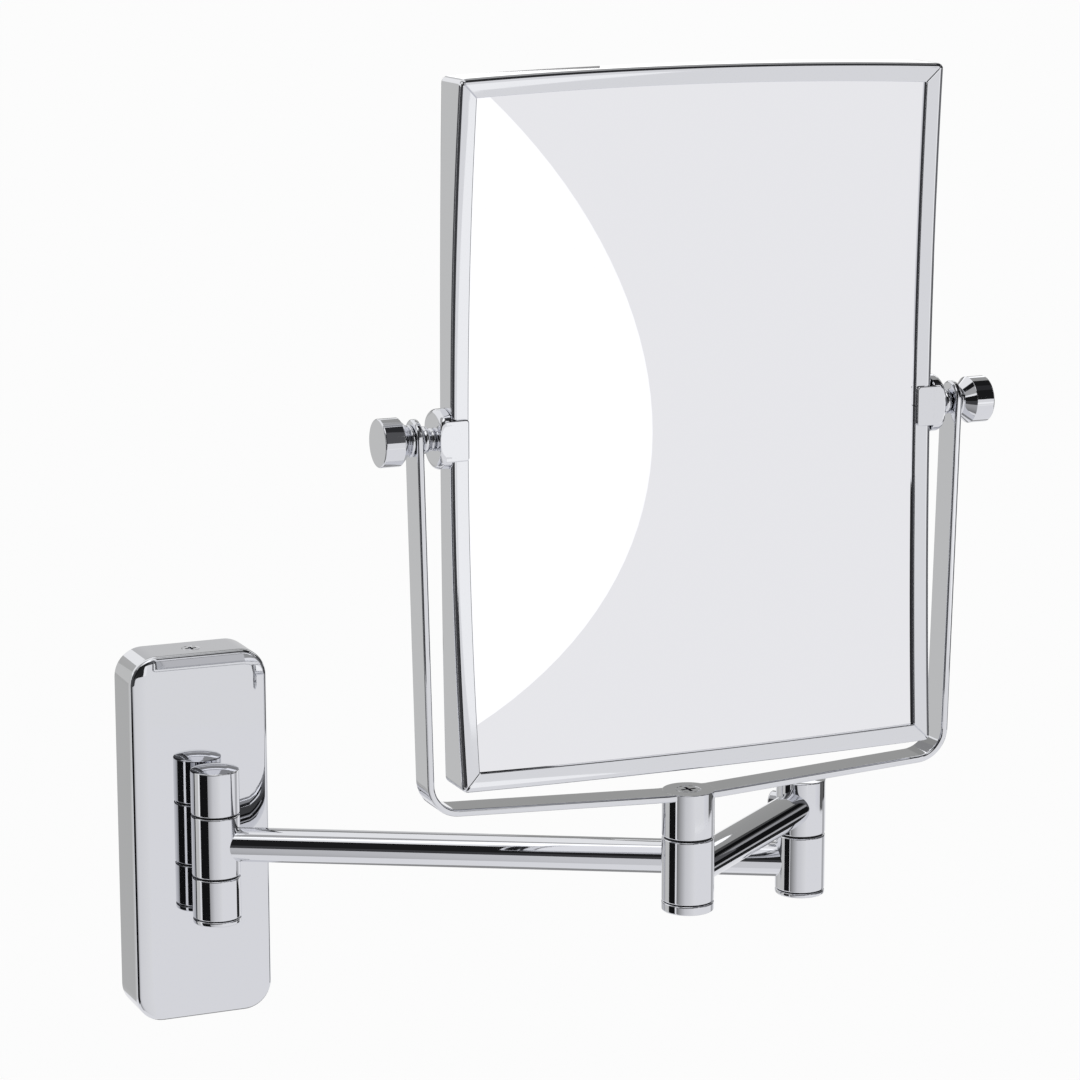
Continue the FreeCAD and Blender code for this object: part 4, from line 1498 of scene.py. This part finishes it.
@dataclass
class Studio:
    """The pale floor, the white surroundings, the cards and the camera.

    The camera's angles are in degrees. The floor's sizes and the cards' middle are in metres.
    """

    camera_mm: tuple[float, float, float] = (-376.17, -1198.92, 360.105)
    camera_turn: float = 23.174
    camera_down: float = 11.635
    camera_roll: float = -0.051
    lens: float = 121.55
    sensor: float = 36.0
    floor_level: float = -1.4
    floor_half: float = 60.0
    surround_colour: str = "#FCFCFC"
    middle: tuple[float, float, float] = (0.1, -0.12, 0.1)

    def build(self) -> None:
        """Sets up the whole studio."""
        self.surroundings()
        self.floor()
        self.camera()
        for card in CARDS:
            card.build(Vector(self.middle))

    def surroundings(self) -> None:
        """Makes the white surroundings and the colour settings."""
        scene = bpy.context.scene
        scene.view_settings.view_transform = "Standard"
        world = bpy.data.worlds.new("white_surroundings")
        world.use_nodes = True
        world.node_tree.nodes["Background"].inputs["Color"].default_value = linear(self.surround_colour)
        world.node_tree.nodes["Background"].inputs["Strength"].default_value = 1.0
        scene.world = world

    def floor(self) -> None:
        """Lays the floor, a matt white board."""
        sketch = Sketch()
        corners = ((-1, -1), (1, -1), (1, 1), (-1, 1))
        sketch.fill([Vector((x * self.floor_half, y * self.floor_half, self.floor_level)) / MM for x, y in corners])
        ground = put_in_scene("pale_floor", sketch.mesh())
        paint = bpy.data.materials.new("matt_white_board")
        paint.use_nodes = True
        shader = paint.node_tree.nodes["Principled BSDF"]
        shader.inputs["Base Color"].default_value = (1, 1, 1, 1)
        shader.inputs["Specular IOR Level"].default_value = 0.0
        shader.inputs["Roughness"].default_value = 1.0
        ground.data.materials.append(paint)

    def camera(self) -> None:
        """Sets the camera at the photograph's angle."""
        turn = math.radians(self.camera_turn)
        down = math.radians(self.camera_down)
        roll = math.radians(self.camera_roll)
        look = Vector((math.sin(turn) * math.cos(down), math.cos(turn) * math.cos(down), -math.sin(down)))
        right = Vector((math.cos(turn), -math.sin(turn), 0))
        up = right.cross(look)
        tilted_right = right * math.cos(roll) + up * math.sin(roll)
        tilted_up = up * math.cos(roll) - right * math.sin(roll)
        data = bpy.data.cameras.new("camera")
        data.lens = self.lens
        data.sensor_width = self.sensor
        data.sensor_fit = "HORIZONTAL"
        camera = put_in_scene("camera", data)
        turned = Matrix((tilted_right, tilted_up, -look)).transposed().to_4x4()
        camera.matrix_world = Matrix.Translation(Vector(self.camera_mm) * MM) @ turned
        bpy.context.scene.camera = camera


# What the chrome and the glass show: an unlit room in front, a pale wall with a round white reflector on the right,
# pale wings and a light floor, grey walls behind, and close flags, streaks and shades that each serve one piece
CARDS = (
    Card("overhead_softbox", (-60, -8), (58, 84), "#FFFFFF", strength=1.4),
    Card("grey_ceiling_right", (60, 140), (60, 89), "#AEAEAE"),
    Card("grey_ceiling_left", (-112, -60), (26, 89), "#AEAEAE"),
    Card("unlit_room", (-62, 2), (-7, 47), "#1A1A1B", last="#2A2A2B"),
    Card("unlit_room_near", (-74, -18), (-14, 2), "#48484A", 1.0, "#3A3A3C"),
    Card("dim_room", (2, 64), (6, 56), "#58585A"),
    Card("dark_panel", (18, 66), (40, 76), "#303032", 0.68),
    Card("lilac_wall", (5, 46), (-17, 5.5), "#EEEEEF"),
    Card("bezel_light", (22.5, 30.5), (5.5, 35), "#EEEEEF", 2.8),
    Card("white_reflector", (25.5, 41.5), (-13.2, -6.3), "#FFFFFF", 2.9, strength=1.08, form=CardForm.ROUND,
         lean=-18.0, steps=(8, 120)),
    Card("right_wing", (46, 73), (-17, 5.5), "#EAEAEE", last="#E0E0E2"),
    Card("left_wing", (-72, -34), (-56, -7), "#7A7A7A", 1.4, "#D8D8DA"),
    Card("front_wing", (-34, 5), (-56, -7), "#D8D8DA", 1.4, "#EEEEEF"),
    Card("grey_floor", (-180, 180), (-88, -18), "#EEEEF0", 1.45, steps=(12, 72)),
    Card("black_flag", (-106, -72), (-45, -17.5), "#161617", 0.42),
    Card("edge_flag", (-106, -72), (-17.5, 25), "#58585A", 0.42, "#48484A"),
    Card("back_wall_left", (-180, -157), (-28, 14), "#C8C8C8", 1.4, "#B8B8B6"),
    Card("side_wall_left", (-157, -106), (-28, 14), "#CECECC", 1.4),
    Card("back_wall_right", (158, 180), (-19, 34), "#D0D0D0", last="#C8C8C8"),
    Card("back_shade_right", (110, 158), (2, 60), "#A0A09E", last="#A4A4A2"),
    Card("top_reflector", (118, 186), (22, 36), "#FFFFFF", 0.5, strength=1.35),
    Card("bend_shade", (137, 204), (16, 28), "#989896", 0.4),
    Card("bend_shade_high", (155, 188), (28, 32.5), "#909090", 0.4),
    Card("right_flag", (73, 105), (-17, 2), "#5C5C5C", last="#707070"),
    Card("right_flag_low", (96, 114), (-27, -15), "#484848", 1.4),
    Card("right_flag_near", (45, 92), (-13, 24), "#7C7C7E", 0.45, "#58585A"),
    Card("streak_upper_dark", (94, 115), (7.5, 15.5), "#101011", 1.3),
    Card("streak_upper_light", (94, 115), (-1.5, 4.5), "#9A9A9C", 1.3),
    Card("streak_middle_dark", (94, 115), (-17, -3), "#141415", 1.3),
    Card("streak_lower_light", (94, 115), (-22.5, -18), "#B8B8BA", 1.3),
    Card("streak_lower_dark", (94, 118), (-30, -22.5), "#242425", 1.3),
    Card("edge_shade", (50, 105), (-13, 5.5), "#2C2C2E", 2.6),
    Card("knob_flag", (31, 66), (6, 58), "#1E1E1F", 2.7),
    Card("knob_flag_high", (66, 118), (44, 62), "#1E1E1F", 2.7),
    Card("right_shade", (76, 110), (2, 58), "#4A4A4A"),
    Card("floor_shade_behind", (125, 180), (-75, -36), "#969696", 1.4),
)


def main() -> None:
    """Builds the object and its studio."""
    logging.basicConfig(level=logging.INFO, format="%(message)s")
    lathe = Lathe()
    dress_fixed_nodes()
    parts = [WallMount(lathe), InnerArm(lathe), OuterArm(lathe), Yoke(lathe), MirrorHead(lathe),
             PivotKnob(lathe, "left", -1), PivotKnob(lathe, "right", 1), Studio()]
    for part in parts:
        part.build()


if __name__ == "__main__":
    main()
